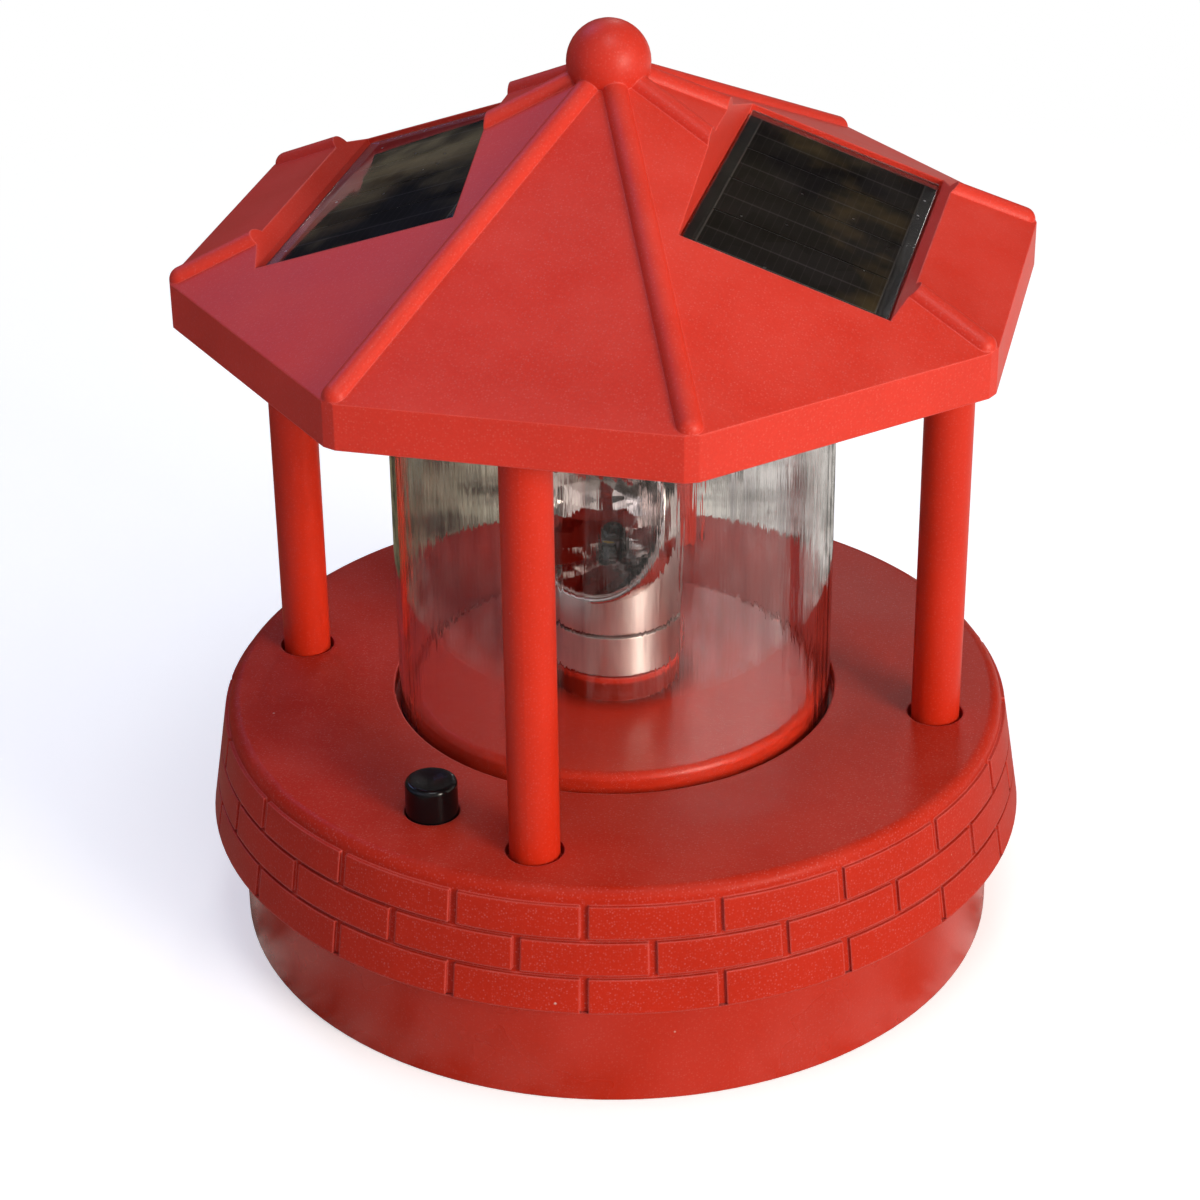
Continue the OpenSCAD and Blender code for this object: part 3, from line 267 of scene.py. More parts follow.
class Recipe:
    """Adds nodes to one tree, from left to right, and wires them as they are added.

    In the names of sockets that are given as keywords, an underscore stands for a space.
    Scales of noise and cells are in waves or cells for each metre.
    """

    def __init__(self, tree):
        self.tree = tree
        self.count = 0

    def node(self, kind, inputs=None, **options):
        made = self.tree.nodes.new(kind)
        made.location = (180 * (self.count // 3), -220 * (self.count % 3))
        self.count += 1
        for key, value in options.items():
            setattr(made, key, value)
        for key, value in (inputs or {}).items():
            self.feed(made.inputs[key], value)
        return made

    def feed(self, socket, value):
        if isinstance(value, bpy.types.NodeSocket):
            self.tree.links.new(value, socket)
        else:
            socket.default_value = value

    def math(self, operation, first, second=0.0, clamp=False):
        return self.node(
            "ShaderNodeMath", {0: first, 1: second}, operation=operation, use_clamp=clamp
        ).outputs[0]

    def plus(self, first, second, clamp=False):
        return self.math("ADD", first, second, clamp)

    def minus(self, first, second):
        return self.math("SUBTRACT", first, second)

    def times(self, first, second):
        return self.math("MULTIPLY", first, second)

    def size(self, value):
        """The value without its sign."""
        return self.math("ABSOLUTE", value)

    def vector(self, operation, first, second=(0, 0, 0)):
        made = self.node("ShaderNodeVectorMath", {0: first, 1: second}, operation=operation)
        return made.outputs[1 if operation in ("DOT_PRODUCT", "LENGTH") else 0]

    def place(self):
        """Where a point is on the piece, in metres."""
        return self.node("ShaderNodeTexCoord").outputs["Object"]

    def facing(self):
        """The way that a point's face looks."""
        return self.node("ShaderNodeNewGeometry").outputs["Normal"]

    def parts(self, vector):
        return self.node("ShaderNodeSeparateXYZ", {0: vector}).outputs

    def joined(self, x, y, z):
        return self.node("ShaderNodeCombineXYZ", {0: x, 1: y, 2: z}).outputs[0]

    def noise(self, vector, scale, detail=2.0, roughness=0.5):
        return self.node(
            "ShaderNodeTexNoise",
            {"Vector": vector, "Scale": scale, "Detail": detail, "Roughness": roughness},
        ).outputs[0]

    def cells(self, vector, scale):
        """Random cells: one random value for each, and the distance from its middle."""
        made = self.node("ShaderNodeTexVoronoi", {"Vector": vector, "Scale": scale}, feature="F1")
        return self.grey(made.outputs["Color"]), made.outputs["Distance"]

    def grey(self, colour):
        return self.node("ShaderNodeSeparateColor", {0: colour}).outputs[0]

    def ramp(self, value, low, high, first=0.0, last=1.0):
        return self.node(
            "ShaderNodeMapRange", {0: value, 1: low, 2: high, 3: first, 4: last}, clamp=True
        ).outputs[0]

    def mix(self, share, first, second):
        """A share of the second colour in the first. Colours have sockets 6, 7 and 2 here."""
        return self.node(
            "ShaderNodeMix", {0: share, 6: first, 7: second}, data_type="RGBA"
        ).outputs[2]

    def bump(self, height, depth, normal=None):
        inputs = {"Height": height, "Distance": depth, "Strength": 1.0}
        if normal is not None:
            inputs["Normal"] = normal
        return self.node("ShaderNodeBump", inputs).outputs[0]

    def group(self, name, **values):
        made = self.node("ShaderNodeGroup", node_tree=bpy.data.node_groups[name])
        for key, value in values.items():
            self.feed(made.inputs[key.replace("_", " ")], value)
        return made.outputs

    def shader(self, **values):
        """The general-purpose surface shader."""
        inputs = {key.replace("_", " "): value for key, value in values.items()}
        return self.node("ShaderNodeBsdfPrincipled", inputs).outputs[0]

    def glow(self, colour, strength):
        return self.node("ShaderNodeEmission", {"Color": colour, "Strength": strength}).outputs[0]

    def blend(self, share, first, second):
        """A share of the second shader over the first."""
        return self.node("ShaderNodeMixShader", {0: share, 1: first, 2: second}).outputs[0]


# Waves or cells for each metre of the shared groups' patterns
CLOUD_SCALE = 38.0
SPECK_SCALE = 420.0
SPARKLE_SCALE = 2300.0
SCUFF_SCALE = 60.0
SCUFF_PATCH_SCALE = 47.0
EDGE_PATCH_SCALE = 160.0
DUST_SCALE = 75.0
SMEAR_SCALE = 90.0
WAVE_SCALE = 170.0


class Finish(Recipe):
    """The nodes of a new material."""

    def __init__(self, name):
        self.material = bpy.data.materials.new(name)
        self.material.use_nodes = True
        self.material.node_tree.nodes.clear()
        build_shared_groups()
        super().__init__(self.material.node_tree)

    def covered(self, surface):
        """Ends in this surface and returns the material."""
        self.node("ShaderNodeOutputMaterial", {"Surface": surface})
        return self.material

    def solid(self, **values):
        """Ends in one general-purpose shader with these inputs and returns the material."""
        return self.covered(self.shader(**values))


def lay_moulded_skin(r, given):
    """Grain of a spark-eroded mould, cloudy pigment, sparkle, pale flecks and hairline scuffs."""
    place = r.place()
    fine = r.noise(place, r.math("DIVIDE", 1.0, given["Grain Size"]), 3.0, 0.6)
    cloud = r.noise(place, CLOUD_SCALE, 3.0, 0.55)
    chosen, apart = r.cells(place, SPECK_SCALE)
    rare = r.math("LESS_THAN", chosen, r.times(given["Flecks"], 0.08))
    flecks = r.times(rare, r.ramp(apart, 0.03, 0.13, 1.0, 0.0))
    picked, near = r.cells(place, SPARKLE_SCALE)
    sparkle = r.times(r.ramp(picked, 0.25, 1.0), r.ramp(near, 0.1, 0.5, 1.0, 0.0))
    stretched = r.vector("MULTIPLY", place, (0.35, 1.6, 1.2))
    contour = r.noise(stretched, SCUFF_SCALE, 0.0, 0.4)
    off_line = r.size(r.minus(contour, 0.5))
    hair = r.ramp(off_line, 0.0006, 0.002, 1.0, 0.0)
    patch = r.noise(r.vector("ADD", place, (0.31, 0.17, 0.05)), SCUFF_PATCH_SCALE, 1.0)
    limit = r.minus(0.78, r.times(given["Scuffs"], 0.3))
    scuffs = r.times(hair, r.ramp(patch, limit, r.plus(limit, 0.06)))
    return dict(Cloud=cloud, Grain=fine, Sparkle=sparkle, Flecks=flecks, Scuffs=scuffs)


def lay_soft_edges(r, given):
    """Rounded look of a moulded edge, and a patchy mask of the edges, for rubbed wear and painted
    edge highlights.
    """
    round_normal = r.node("ShaderNodeBevel", {"Radius": given["Radius"]}, samples=6).outputs[0]
    away = r.minus(1.0, r.vector("DOT_PRODUCT", round_normal, r.facing()))
    worn_and_lit = r.ramp(r.noise(r.place(), EDGE_PATCH_SCALE, 2.0), 0.3, 0.7, 0.55, 1.0)
    edge = r.math("MULTIPLY", r.ramp(away, 0.015, 0.26), worn_and_lit, clamp=True)
    return {"Normal": round_normal, "Edge": edge}


def lay_settled_dust(r, given):
    """Thin uneven dust on faces that look up."""
    level = r.ramp(r.parts(r.facing())[2], 0.35, 1.0)
    patch = r.ramp(r.noise(r.place(), DUST_SCALE, 4.0, 0.65), 0.35, 0.75)
    return {"Dust": r.times(r.times(level, patch), given["Amount"])}


def lay_handling_marks(r, given):
    """Faint smears and specks left by fingers and rain on a glossy face."""
    place = r.place()
    stretched = r.vector("MULTIPLY", place, (1.0, 1.0, 0.35))
    smear = r.noise(stretched, SMEAR_SCALE, 4.0, 0.6)
    chosen, apart = r.cells(place, SPECK_SCALE)
    specks = r.times(r.math("LESS_THAN", chosen, 0.12), r.ramp(apart, 0.06, 0.2, 1.0, 0.0))
    return {
        "Smears": r.times(r.ramp(smear, 0.45, 0.75), given["Amount"]),
        "Specks": r.times(specks, given["Amount"]),
    }


def lay_turned_lines(r, given):
    """Fine lines that a lathe or a drawing die leaves on metal."""
    height = r.parts(r.place())[2]
    level = r.joined(0.0, 0.0, r.times(height, r.math("DIVIDE", 1.0, given["Line Pitch"])))
    return {"Lines": r.noise(level, 1.0, 2.0, 0.7)}


def lay_drawn_streaks(r, given):
    """Upright streaks on a drawn tube, and a mask of its upper part with a ragged lower edge, for
    a painted reflection.
    """
    x, y, z = r.parts(r.place())
    turn = r.times(r.math("ARCTAN2", y, x), TUBE_R)
    streak = r.noise(r.joined(turn, r.times(z, 0.06), 0.0), given["Scale"], 3.0, 0.6)
    ragged = r.noise(r.joined(turn, 0.0, 0.0), r.times(given["Scale"], 0.7), 3.0, 0.7)
    reach = r.plus(z, r.times(ragged, REFLECTION_RAGGED))
    return {"Streaks": streak, "High": r.ramp(reach, REFLECTION_FROM, REFLECTION_TO)}


# Layout and inputs of each shared group
SHARED_GROUPS = {
    "Moulded Skin": (lay_moulded_skin, {"Grain Size": 0.0005, "Flecks": 0.3, "Scuffs": 0.3}),
    "Soft Edges": (lay_soft_edges, {"Radius": 0.0003}),
    "Settled Dust": (lay_settled_dust, {"Amount": 0.1}),
    "Handling Marks": (lay_handling_marks, {"Amount": 0.5}),
    "Turned Lines": (lay_turned_lines, {"Line Pitch": 0.0002}),
    "Drawn Streaks": (lay_drawn_streaks, {"Scale": 300.0}),
}


def build_shared_groups():
    for name, (lay_out, inputs) in SHARED_GROUPS.items():
        if name in bpy.data.node_groups:
            continue
        tree = bpy.data.node_groups.new(name, "ShaderNodeTree")
        for label, value in inputs.items():
            socket = tree.interface.new_socket(label, socket_type="NodeSocketFloat")
            socket.default_value = value
        recipe = Recipe(tree)
        made = lay_out(recipe, recipe.node("NodeGroupInput").outputs)
        for label in made:
            kind = "Vector" if label == "Normal" else "Float"
            tree.interface.new_socket(label, in_out="OUTPUT", socket_type="NodeSocket" + kind)
        recipe.node("NodeGroupOutput", made)


# Finishes


def moulded_plastic(
    name, colour, roughness, specular=0.2, dust=1.0, rub_and_highlight=0.5, radius=1.0, grain=1.0, painted_shade=None
):
    """Moulded plastic with grain, flecks, scuffs, dust and lighter edges, partly rubbed wear and
    partly painted highlight.

    Painted shade, given as a radius and a height, darkens what is nearer the axis and lower.
    """
    surface = settings("surface")
    r = Finish(name)
    flecks, scuffs = surface.flecks * dust, surface.scuffs * dust
    skin = r.group("Moulded Skin", Grain_Size=surface.grain_size, Flecks=flecks, Scuffs=scuffs)
    edges = r.group("Soft Edges", Radius=surface.edge_radius * radius)
    settled = r.group("Settled Dust", Amount=surface.dust * dust)["Dust"]
    pale = shade([0.35 + 0.65 * value for value in colour], 1.0)
    worn_and_lit = shade([1.35 * value + 0.1 for value in colour], 1.0)
    dusty = shade(settings("colours").dust, 1.0)
    base = r.mix(r.ramp(skin["Cloud"], 0.3, 0.7), shade(colour, 0.92), shade(colour, 1.06))
    base = r.mix(r.ramp(skin["Grain"], 0.35, 0.7, 0.0, 0.22), base, shade(colour, 1.25))
    base = r.mix(r.times(skin["Sparkle"], 0.2 * grain), base, pale)
    # Lighter edges, partly rubbed wear and partly a painted highlight
    base = r.mix(r.times(edges["Edge"], rub_and_highlight), base, worn_and_lit)
    base = r.mix(r.times(skin["Scuffs"], 0.5), base, pale)
    base = r.mix(r.times(skin["Flecks"], 0.75), base, dusty)
    base = r.mix(settled, base, dusty)
    # Painted shade: darker near the axis and below the given height
    if painted_shade:
        shaded_r, shaded_z = painted_shade
        x, y, z = r.parts(r.place())
        out = r.vector("LENGTH", r.joined(x, y, 0.0))
        near = r.ramp(out, shaded_r, shaded_r + 4 * MM, 1.0, 0.0)
        below = r.ramp(z, shaded_z - 1.4 * MM, shaded_z - 0.8 * MM, 1.0, 0.0)
        base = r.mix(r.times(r.times(near, below), 0.75), base, shade(colour, 0.25))
    rough = r.ramp(skin["Cloud"], 0.3, 0.7, roughness - 0.04, roughness + 0.05)
    rough = r.plus(rough, r.times(skin["Scuffs"], 0.1))
    rough = r.plus(rough, r.times(settled, 0.5), clamp=True)
    return r.solid(
        Base_Color=base,
        Roughness=rough,
        Specular_IOR_Level=specular,
        IOR=1.5,
        Normal=r.bump(skin["Grain"], surface.grain_depth * grain, edges["Normal"]),
    )


def plated_metal(name, colour, roughness, lines=0.0, radius=0.5, marks=0.4):
    """Bright metal with smears, rubbed edges and, where it was turned or drawn, fine lines."""
    surface = settings("surface")
    r = Finish(name)
    marked = r.group("Handling Marks", Amount=marks)
    edges = r.group("Soft Edges", Radius=surface.edge_radius * radius)
    turned = r.group("Turned Lines", Line_Pitch=0.15 * MM)["Lines"]
    base = r.mix(marked["Smears"], shade(colour, 1.0), shade(colour, 0.86))
    base = r.mix(r.times(marked["Specks"], 0.6), base, shade(colour, 0.5))
    rough = r.plus(roughness, r.times(marked["Smears"], 0.12))
    rough = r.plus(rough, r.times(edges["Edge"], 0.05), clamp=True)
    height = r.plus(r.times(turned, lines), r.noise(r.place(), WAVE_SCALE, 2.0))
    normal = r.bump(height, 0.02 * MM, edges["Normal"])
    return r.solid(Base_Color=base, Metallic=1.0, Roughness=rough, Normal=normal)


def see_through(r, shader, shadow):
    """Lets lamps shine through a clear piece, so what is behind it stays lit."""
    rays = r.node("ShaderNodeLightPath").outputs
    open_air = r.node("ShaderNodeBsdfTransparent", {"Color": shadow}).outputs[0]
    return r.blend(rays["Is Shadow Ray"], shader, open_air)


def tube_acrylic():
    """Clear drawn acrylic with faint upright streaks, a few specks and a painted streaky
    reflection that greys its upper part.
    """
    r = Finish("Tube Acrylic")
    drawn = r.group("Drawn Streaks", Scale=420.0)
    streaks = drawn["Streaks"]
    marked = r.group("Handling Marks", Amount=0.5)
    rough = r.ramp(streaks, 0.42, 0.75, 0.01, 0.07)
    rough = r.plus(rough, r.times(marked["Specks"], 0.25), clamp=True)
    # Painted reflection: greyer streaks over the tube's upper part, with a ragged lower edge
    painted_reflection = r.times(r.ramp(streaks, 0.4, 0.68), drawn["High"])
    shader = r.shader(
        Base_Color=r.mix(painted_reflection, (0.97, 0.975, 0.98, 1.0), (0.74, 0.73, 0.75, 1.0)),
        Roughness=rough,
        IOR=1.49,
        Transmission_Weight=1.0,
        Normal=r.bump(streaks, 0.06 * MM),
    )
    return r.covered(see_through(r, shader, (0.92, 0.93, 0.94, 1.0)))


def cell_resin():
    """Glossy resin poured over the solar cells, with small bubbles and dust specks."""
    r = Finish("Cell Resin")
    marked = r.group("Handling Marks", Amount=0.8)
    rough = r.plus(0.03, r.times(marked["Smears"], 0.16))
    rough = r.plus(rough, r.times(marked["Specks"], 0.4), clamp=True)
    shader = r.shader(
        Base_Color=r.mix(marked["Smears"], (0.93, 0.93, 0.94, 1.0), (0.86, 0.85, 0.84, 1.0)),
        Roughness=rough,
        IOR=1.5,
        Transmission_Weight=1.0,
        Normal=r.bump(r.noise(r.place(), 60.0, 2.0), 0.05 * MM),
    )
    return r.covered(see_through(r, shader, (0.9, 0.9, 0.9, 1.0)))


def uneven_shader(r, scale, detail, first, last, roughness, depth, **fixed):
    """A shader whose colour, roughness and height all follow one noise."""
    uneven = r.noise(r.place(), scale, detail)
    return r.shader(
        Base_Color=r.mix(uneven, first, last),
        Roughness=r.ramp(uneven, 0.3, 0.7, *roughness),
        Normal=r.bump(uneven, depth),
        **fixed,
    )


def lamp_resin():
    """Slightly milky resin of the light source."""
    r = Finish("Lamp Resin")
    cool, warm = (0.93, 0.94, 0.95, 1.0), (0.98, 0.97, 0.93, 1.0)
    clear = {"IOR": 1.53, "Transmission_Weight": 1.0}
    shader = uneven_shader(r, 900.0, 2.0, cool, warm, (0.03, 0.09), 0.005 * MM, **clear)
    return r.covered(see_through(r, shader, (0.95, 0.95, 0.95, 1.0)))


def panel_place(r, side):
    """Where a point is on a solar panel: along its slope, across it and above its seat."""
    return r.node(
        "ShaderNodeMapping",
        {
            "Vector": r.place(),
            "Location": (side * PANEL_MID_X, 0, PANEL_MID_Z),
            "Rotation": (0, PANEL_SLOPE, 0 if side > 0 else math.pi),
        },
        vector_type="TEXTURE",
    ).outputs[0]


def solar_silicon(side):
    """Near-black silicon with printed fingers, a busbar on each strip, a bright border line and
    painted brown reflection in blotches.
    """
    cells = settings("colours").cells
    r = Finish("Solar Silicon " + ("Right" if side > 0 else "Left"))
    along, across = r.parts(panel_place(r, side))[:2]
    strip_w = (PANEL_W - 2 * CELL_BORDER + CELL_GAP) / CELL_COUNT
    strip = r.math("DIVIDE", r.plus(across, 2 * strip_w), strip_w)
    in_strip = r.minus(r.math("FRACT", strip), 0.5)
    busbar = r.ramp(r.size(in_strip), 0.012, 0.02, 1.0, 0.0)
    finger = r.math("FRACT", r.math("DIVIDE", r.plus(along, 1.0), FINGER_PITCH))
    fingers = r.ramp(r.size(r.minus(finger, 0.5)), 0.03, 0.06, 1.0, 0.0)

    def border_line(place, length):
        half = length / 2 - CELL_BORDER
        return r.ramp(r.size(place), half - BORDER_LINE_FROM, half - BORDER_LINE_TO)

    border = r.math("MAXIMUM", border_line(along, PANEL_LEN), border_line(across, PANEL_W))
    grey = r.cells(r.place(), 190.0)[0]
    base = r.mix(grey, shade(cells, 0.5), shade(cells, 1.2))
    # Painted reflection: brown blotches, more of them towards one end of the panel
    uneven = r.plus(r.noise(r.place(), 32.0, 4.0, 0.6), r.times(along, 5.0))
    painted_brown_reflection, silver = paint(72, 58, 32), paint(120, 116, 112)
    base = r.mix(r.times(r.ramp(uneven, 0.5, 0.66), 0.8), base, painted_brown_reflection)
    for line, share in ((fingers, 0.05), (busbar, 0.12), (border, 0.4)):
        base = r.mix(r.times(line, share), base, silver)
    return r.solid(
        Base_Color=base,
        Metallic=r.times(border, 0.4),
        Roughness=r.ramp(grey, 0.0, 1.0, 0.3, 0.42),
        Specular_IOR_Level=0.2,
        Normal=r.bump(grey, 0.01 * MM),
    )


def board_laminate(name, mask_colour, copper=0.25):
    """Circuit laminate: solder mask over copper tracks, with a faint weave."""
    r = Finish(name)
    place = r.place()
    turns = 2 * math.pi / WEAVE_PITCH
    weave = r.times(*(r.math("SINE", r.times(axis, turns)) for axis in r.parts(place)[:2]))
    tracks = r.node(
        "ShaderNodeTexBrick",
        {
            "Vector": place,
            "Color1": (0, 0, 0, 1),
            "Color2": (0, 0, 0, 1),
            "Mortar": (1, 1, 1, 1),
            "Scale": 1.0,
            "Mortar Size": TRACK_W,
            "Mortar Smooth": 0.1,
            "Brick Width": TRACK_PITCH_X,
            "Row Height": TRACK_PITCH_Y,
        },
    ).outputs["Color"]
    track = r.grey(tracks)
    base = r.mix(r.ramp(weave, -1.0, 1.0), shade(mask_colour, 0.85), shade(mask_colour, 1.1))
    return r.solid(
        Base_Color=r.mix(r.times(track, copper), base, paint(150, 140, 70)),
        Roughness=r.ramp(weave, -1.0, 1.0, 0.3, 0.4),
        Specular_IOR_Level=0.5,
        Normal=r.bump(r.plus(r.times(weave, 0.2), track), 0.02 * MM),
    )


def seal_rubber():
    """Soft black rubber with a matte bloom."""
    r = Finish("Seal Rubber")
    bloom = r.noise(r.place(), 300.0, 4.0, 0.6)
    return r.solid(
        Base_Color=r.mix(bloom, paint(20, 20, 21), paint(44, 43, 43)),
        Roughness=r.ramp(bloom, 0.3, 0.7, 0.6, 0.8),
        Specular_IOR_Level=0.3,
        Normal=r.bump(r.noise(r.place(), 3000.0, 2.0), 0.02 * MM),
    )


def wire_insulation(name, colour):
    """Soft wire insulation, slightly uneven along the wire."""
    r = Finish(name)
    dark, pale = shade(colour, 0.85), shade(colour, 1.1)
    soft = {"Specular_IOR_Level": 0.4}
    shader = uneven_shader(r, 500.0, 3.0, dark, pale, (0.35, 0.5), 0.03 * MM, **soft)
    return r.covered(shader)


def cell_sleeve():
    """Shrink sleeve of the rechargeable cell, open over the bright metal ends."""
    r = Finish("Cell Sleeve")
    low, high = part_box("battery_cell")
    axis_y, axis_z = (low.y + high.y) / 2, (low.z + high.z) / 2
    radius = (high.y - low.y) / 2
    can_end, button_end = low.x + 0.2 * MM, high.x - 1.3 * MM
    pale_from, pale_to = high.x - 8.2 * MM, high.x - 8.0 * MM
    green, light_green, pale, steel = (
        paint(*rgb) for rgb in ((38, 96, 58), (52, 120, 74), (206, 206, 198), (205, 205, 208))
    )
    x, y, z = r.parts(r.place())
    off_y, off_z = r.minus(y, axis_y), r.minus(z, axis_z)
    out = r.vector("LENGTH", r.joined(0.0, off_y, off_z))
    bare = r.ramp(out, radius - 0.9 * MM, radius - 0.8 * MM, 1.0, 0.0)
    first = r.math("LESS_THAN", x, can_end)
    last = r.math("GREATER_THAN", x, button_end)
    metal = r.times(bare, r.math("MAXIMUM", first, last))
    uneven = r.noise(r.place(), 140.0, 3.0)
    sleeve = r.mix(r.ramp(x, pale_from, pale_to), r.mix(uneven, green, light_green), pale)
    return r.solid(
        Base_Color=r.mix(metal, sleeve, steel),
        Metallic=metal,
        Roughness=r.ramp(uneven, 0.3, 0.7, 0.22, 0.34),
        Normal=r.bump(uneven, 0.04 * MM),
    )


def glossy_button():
    """Glossy black plastic with faint finger marks."""
    black = settings("colours").button
    surface = settings("surface")
    r = Finish("Button Plastic")
    marked = r.group("Handling Marks", Amount=0.7)
    edges = r.group("Soft Edges", Radius=surface.edge_radius * 0.4)
    base = r.mix(marked["Specks"], shade(black, 1.0), paint(96, 90, 88))
    return r.solid(
        # Lighter edges, partly rubbed wear and partly a painted highlight
        Base_Color=r.mix(r.times(edges["Edge"], 0.3), base, shade(black, 3.0)),
        Roughness=r.plus(0.16, r.times(marked["Smears"], 0.18)),
        Specular_IOR_Level=0.3,
        Normal=r.bump(r.noise(r.place(), 400.0, 2.0), 0.008 * MM, edges["Normal"]),
    )


def phosphor():
    """Yellow phosphor on the light source's chip."""
    r = Finish("Phosphor")
    dark, pale = paint(232, 206, 84), paint(250, 232, 140)
    shader = uneven_shader(r, 5000.0, 2.0, dark, pale, (0.5, 0.7), 0.01 * MM)
    return r.covered(shader)


def satin_plate():
    """Plating of the neck: a satin sheen drawn upwards, and painted shade in the seam's groove."""
    plating = settings("colours").plating
    surface = settings("surface")
    r = Finish("Satin Plate")
    marked = r.group("Handling Marks", Amount=0.6)
    edges = r.group("Soft Edges", Radius=surface.edge_radius)
    x, y, z = r.parts(r.place())
    out = r.vector("LENGTH", r.joined(x, y, 0.0))
    off = r.size(r.minus(z, SEAM_Z + SEAM_H / 2))
    # Painted shade in the seam's groove: dark red-brown, not metallic and rougher
    seam_shade = r.times(
        r.ramp(off, SEAM_H / 2 - 0.02 * MM, SEAM_H / 2 + 0.08 * MM, 1.0, 0.0),
        r.math("GREATER_THAN", out, HEAD_R - 1.2 * MM),
    )
    base = r.mix(marked["Smears"], shade(plating, 1.0), shade(plating, 0.8))
    base = r.mix(r.times(marked["Specks"], 0.5), base, shade(plating, 0.5))
    rough = r.plus(0.34, r.times(marked["Smears"], 0.12))
    return r.solid(
        Base_Color=r.mix(seam_shade, base, paint(74, 26, 20)),
        Metallic=r.minus(1.0, seam_shade),
        Roughness=r.plus(rough, r.times(seam_shade, 0.3), clamp=True),
        Anisotropic=0.8,
        Anisotropic_Rotation=0.25,
        Normal=r.bump(r.noise(r.place(), WAVE_SCALE, 2.0), 0.02 * MM, edges["Normal"]),
    )


def shared(name):
    """A finish that several pieces have, built on its first use."""
    found = bpy.data.materials.get(name)
    if found:
        return found
    plating = settings("colours").plating
    metals = {
        "Zinc Plate": (srgb(196, 196, 200), 0.3, {"lines": 0.5}),
        "Turned Brass": (srgb(214, 178, 96), 0.24, {"lines": 1.0}),
        "Spring Wire": (srgb(206, 204, 200), 0.22, {"lines": 0.6}),
        "Bright Plate": (plating, 0.12, {"radius": 0.8, "marks": 0.5}),
        "Bowl Mirror": (shade(plating, 0.82), 0.05, {"radius": 0.2, "marks": 0.3}),
    }
    pale = {"dust": 0.2, "rub_and_highlight": 0.1, "radius": 0.4, "grain": 0.5}
    dark = {"dust": 0.3, "rub_and_highlight": 0.3, "radius": 0.5}
    plastics = {
        "White Moulding": (srgb(226, 225, 220), 0.4, pale),
        "Black Moulding": (srgb(38, 38, 41), 0.5, dark),
    }
    others = {
        "Satin Plate": satin_plate,
        "Cell Resin": cell_resin,
        "Lamp Resin": lamp_resin,
        "Button Plastic": glossy_button,
        "Phosphor": phosphor,
    }
    if name in others:
        return others[name]()
    build, table = (plated_metal, metals) if name in metals else (moulded_plastic, plastics)
    colour, roughness, more = table[name]
    return build(name, colour, roughness, **more)


def dress(material, *nodes):
    """Gives the frame's nodes this finish."""
    for node in nodes:
        piece = NODES[node]
        if not piece.material_slots:
            piece.data.materials.append(material)
        for slot in piece.material_slots:
            slot.material = material


# Shapes


def polar(radius, turn, height):
    """The point at this radius and height, after a share of a turn about the Z axis."""
    angle = 2 * math.pi * turn
    return Vector((radius * math.cos(angle), radius * math.sin(angle), height))


def in_mm(*points):
    return [(radius * MM, height * MM) for radius, height in points]


def turn_profile(bm, profile, segments, place=None, smooth=True):
    """Turns (radius, height) points about the Z axis of place. Returns the rings of vertices."""
    place = place or Matrix()
    rings = []
    for radius, height in profile:
        if radius < 1e-9:
            rings.append([bm.verts.new(place @ Vector((0, 0, height)))])
            continue
        points = [place @ polar(radius, i / segments, height) for i in range(segments)]
        rings.append([bm.verts.new(point) for point in points])
    for lower, upper in zip(rings, rings[1:]):
        for i in range(segments):
            after = (i + 1) % segments
            corners = (
                lower[i % len(lower)],
                lower[after % len(lower)],
                upper[after % len(upper)],
                upper[i % len(upper)],
            )
            face = bm.faces.new(dict.fromkeys(corners))
            face.smooth = smooth
    return rings


def corner(centre_r, centre_z, radius, start, end, steps=6):
    """Points of a rounded corner of a profile, from one angle to another in degrees."""
    angles = [math.radians(start + (end - start) * i / steps) for i in range(steps + 1)]
    return [(centre_r + radius * math.cos(a), centre_z + radius * math.sin(a)) for a in angles]


def finish_mesh(bm, name, *materials):
    """Turns a bmesh into a shown object."""
    bmesh.ops.recalc_face_normals(bm, faces=bm.faces)
    mesh = bpy.data.meshes.new(name)
    bm.to_mesh(mesh)
    bm.free()
    for material in materials:
        mesh.materials.append(material)
    piece = bpy.data.objects.new(name, mesh)
    bpy.context.scene.collection.objects.link(piece)
    return piece


def cut(piece, tool):
    """Cuts the tool's shape out of the piece and removes the tool."""
    cutting = piece.modifiers.new("Cut", "BOOLEAN")
    cutting.operation = "DIFFERENCE"
    cutting.solver = "EXACT"
    cutting.object = tool
    bpy.context.view_layer.update()
    evaluated = piece.evaluated_get(bpy.context.evaluated_depsgraph_get())
    mesh = bpy.data.meshes.new_from_object(evaluated)
    piece.modifiers.remove(cutting)
    piece.data = mesh
    bpy.data.objects.remove(tool)


def easing_shares(steps):
    """Shares from 0 to 1 that lie closer together towards 1."""
    return [math.sin(math.pi / 2 * i / steps) for i in range(steps + 1)]


def bowl_place():
    """Frame of the lamp bowl: its Z axis points out of the bowl, from the middle of its mouth."""
    return (
        Matrix.Rotation(BOWL_FACE, 4, "Z")
        @ Matrix.Translation((BOWL_OUT, 0, BOWL_Z))
        @ Matrix.Rotation(math.pi / 2 - BOWL_TILT, 4, "Y")
    )


def bowl_inner_r(depth):
    return (BOWL_R - BOWL_WALL) * math.sqrt(max(0.0, 1 - depth / BOWL_DEPTH))


def bowl_depth_at(radius):
    return BOWL_DEPTH * (1 - (radius / (BOWL_R - BOWL_WALL)) ** 2)


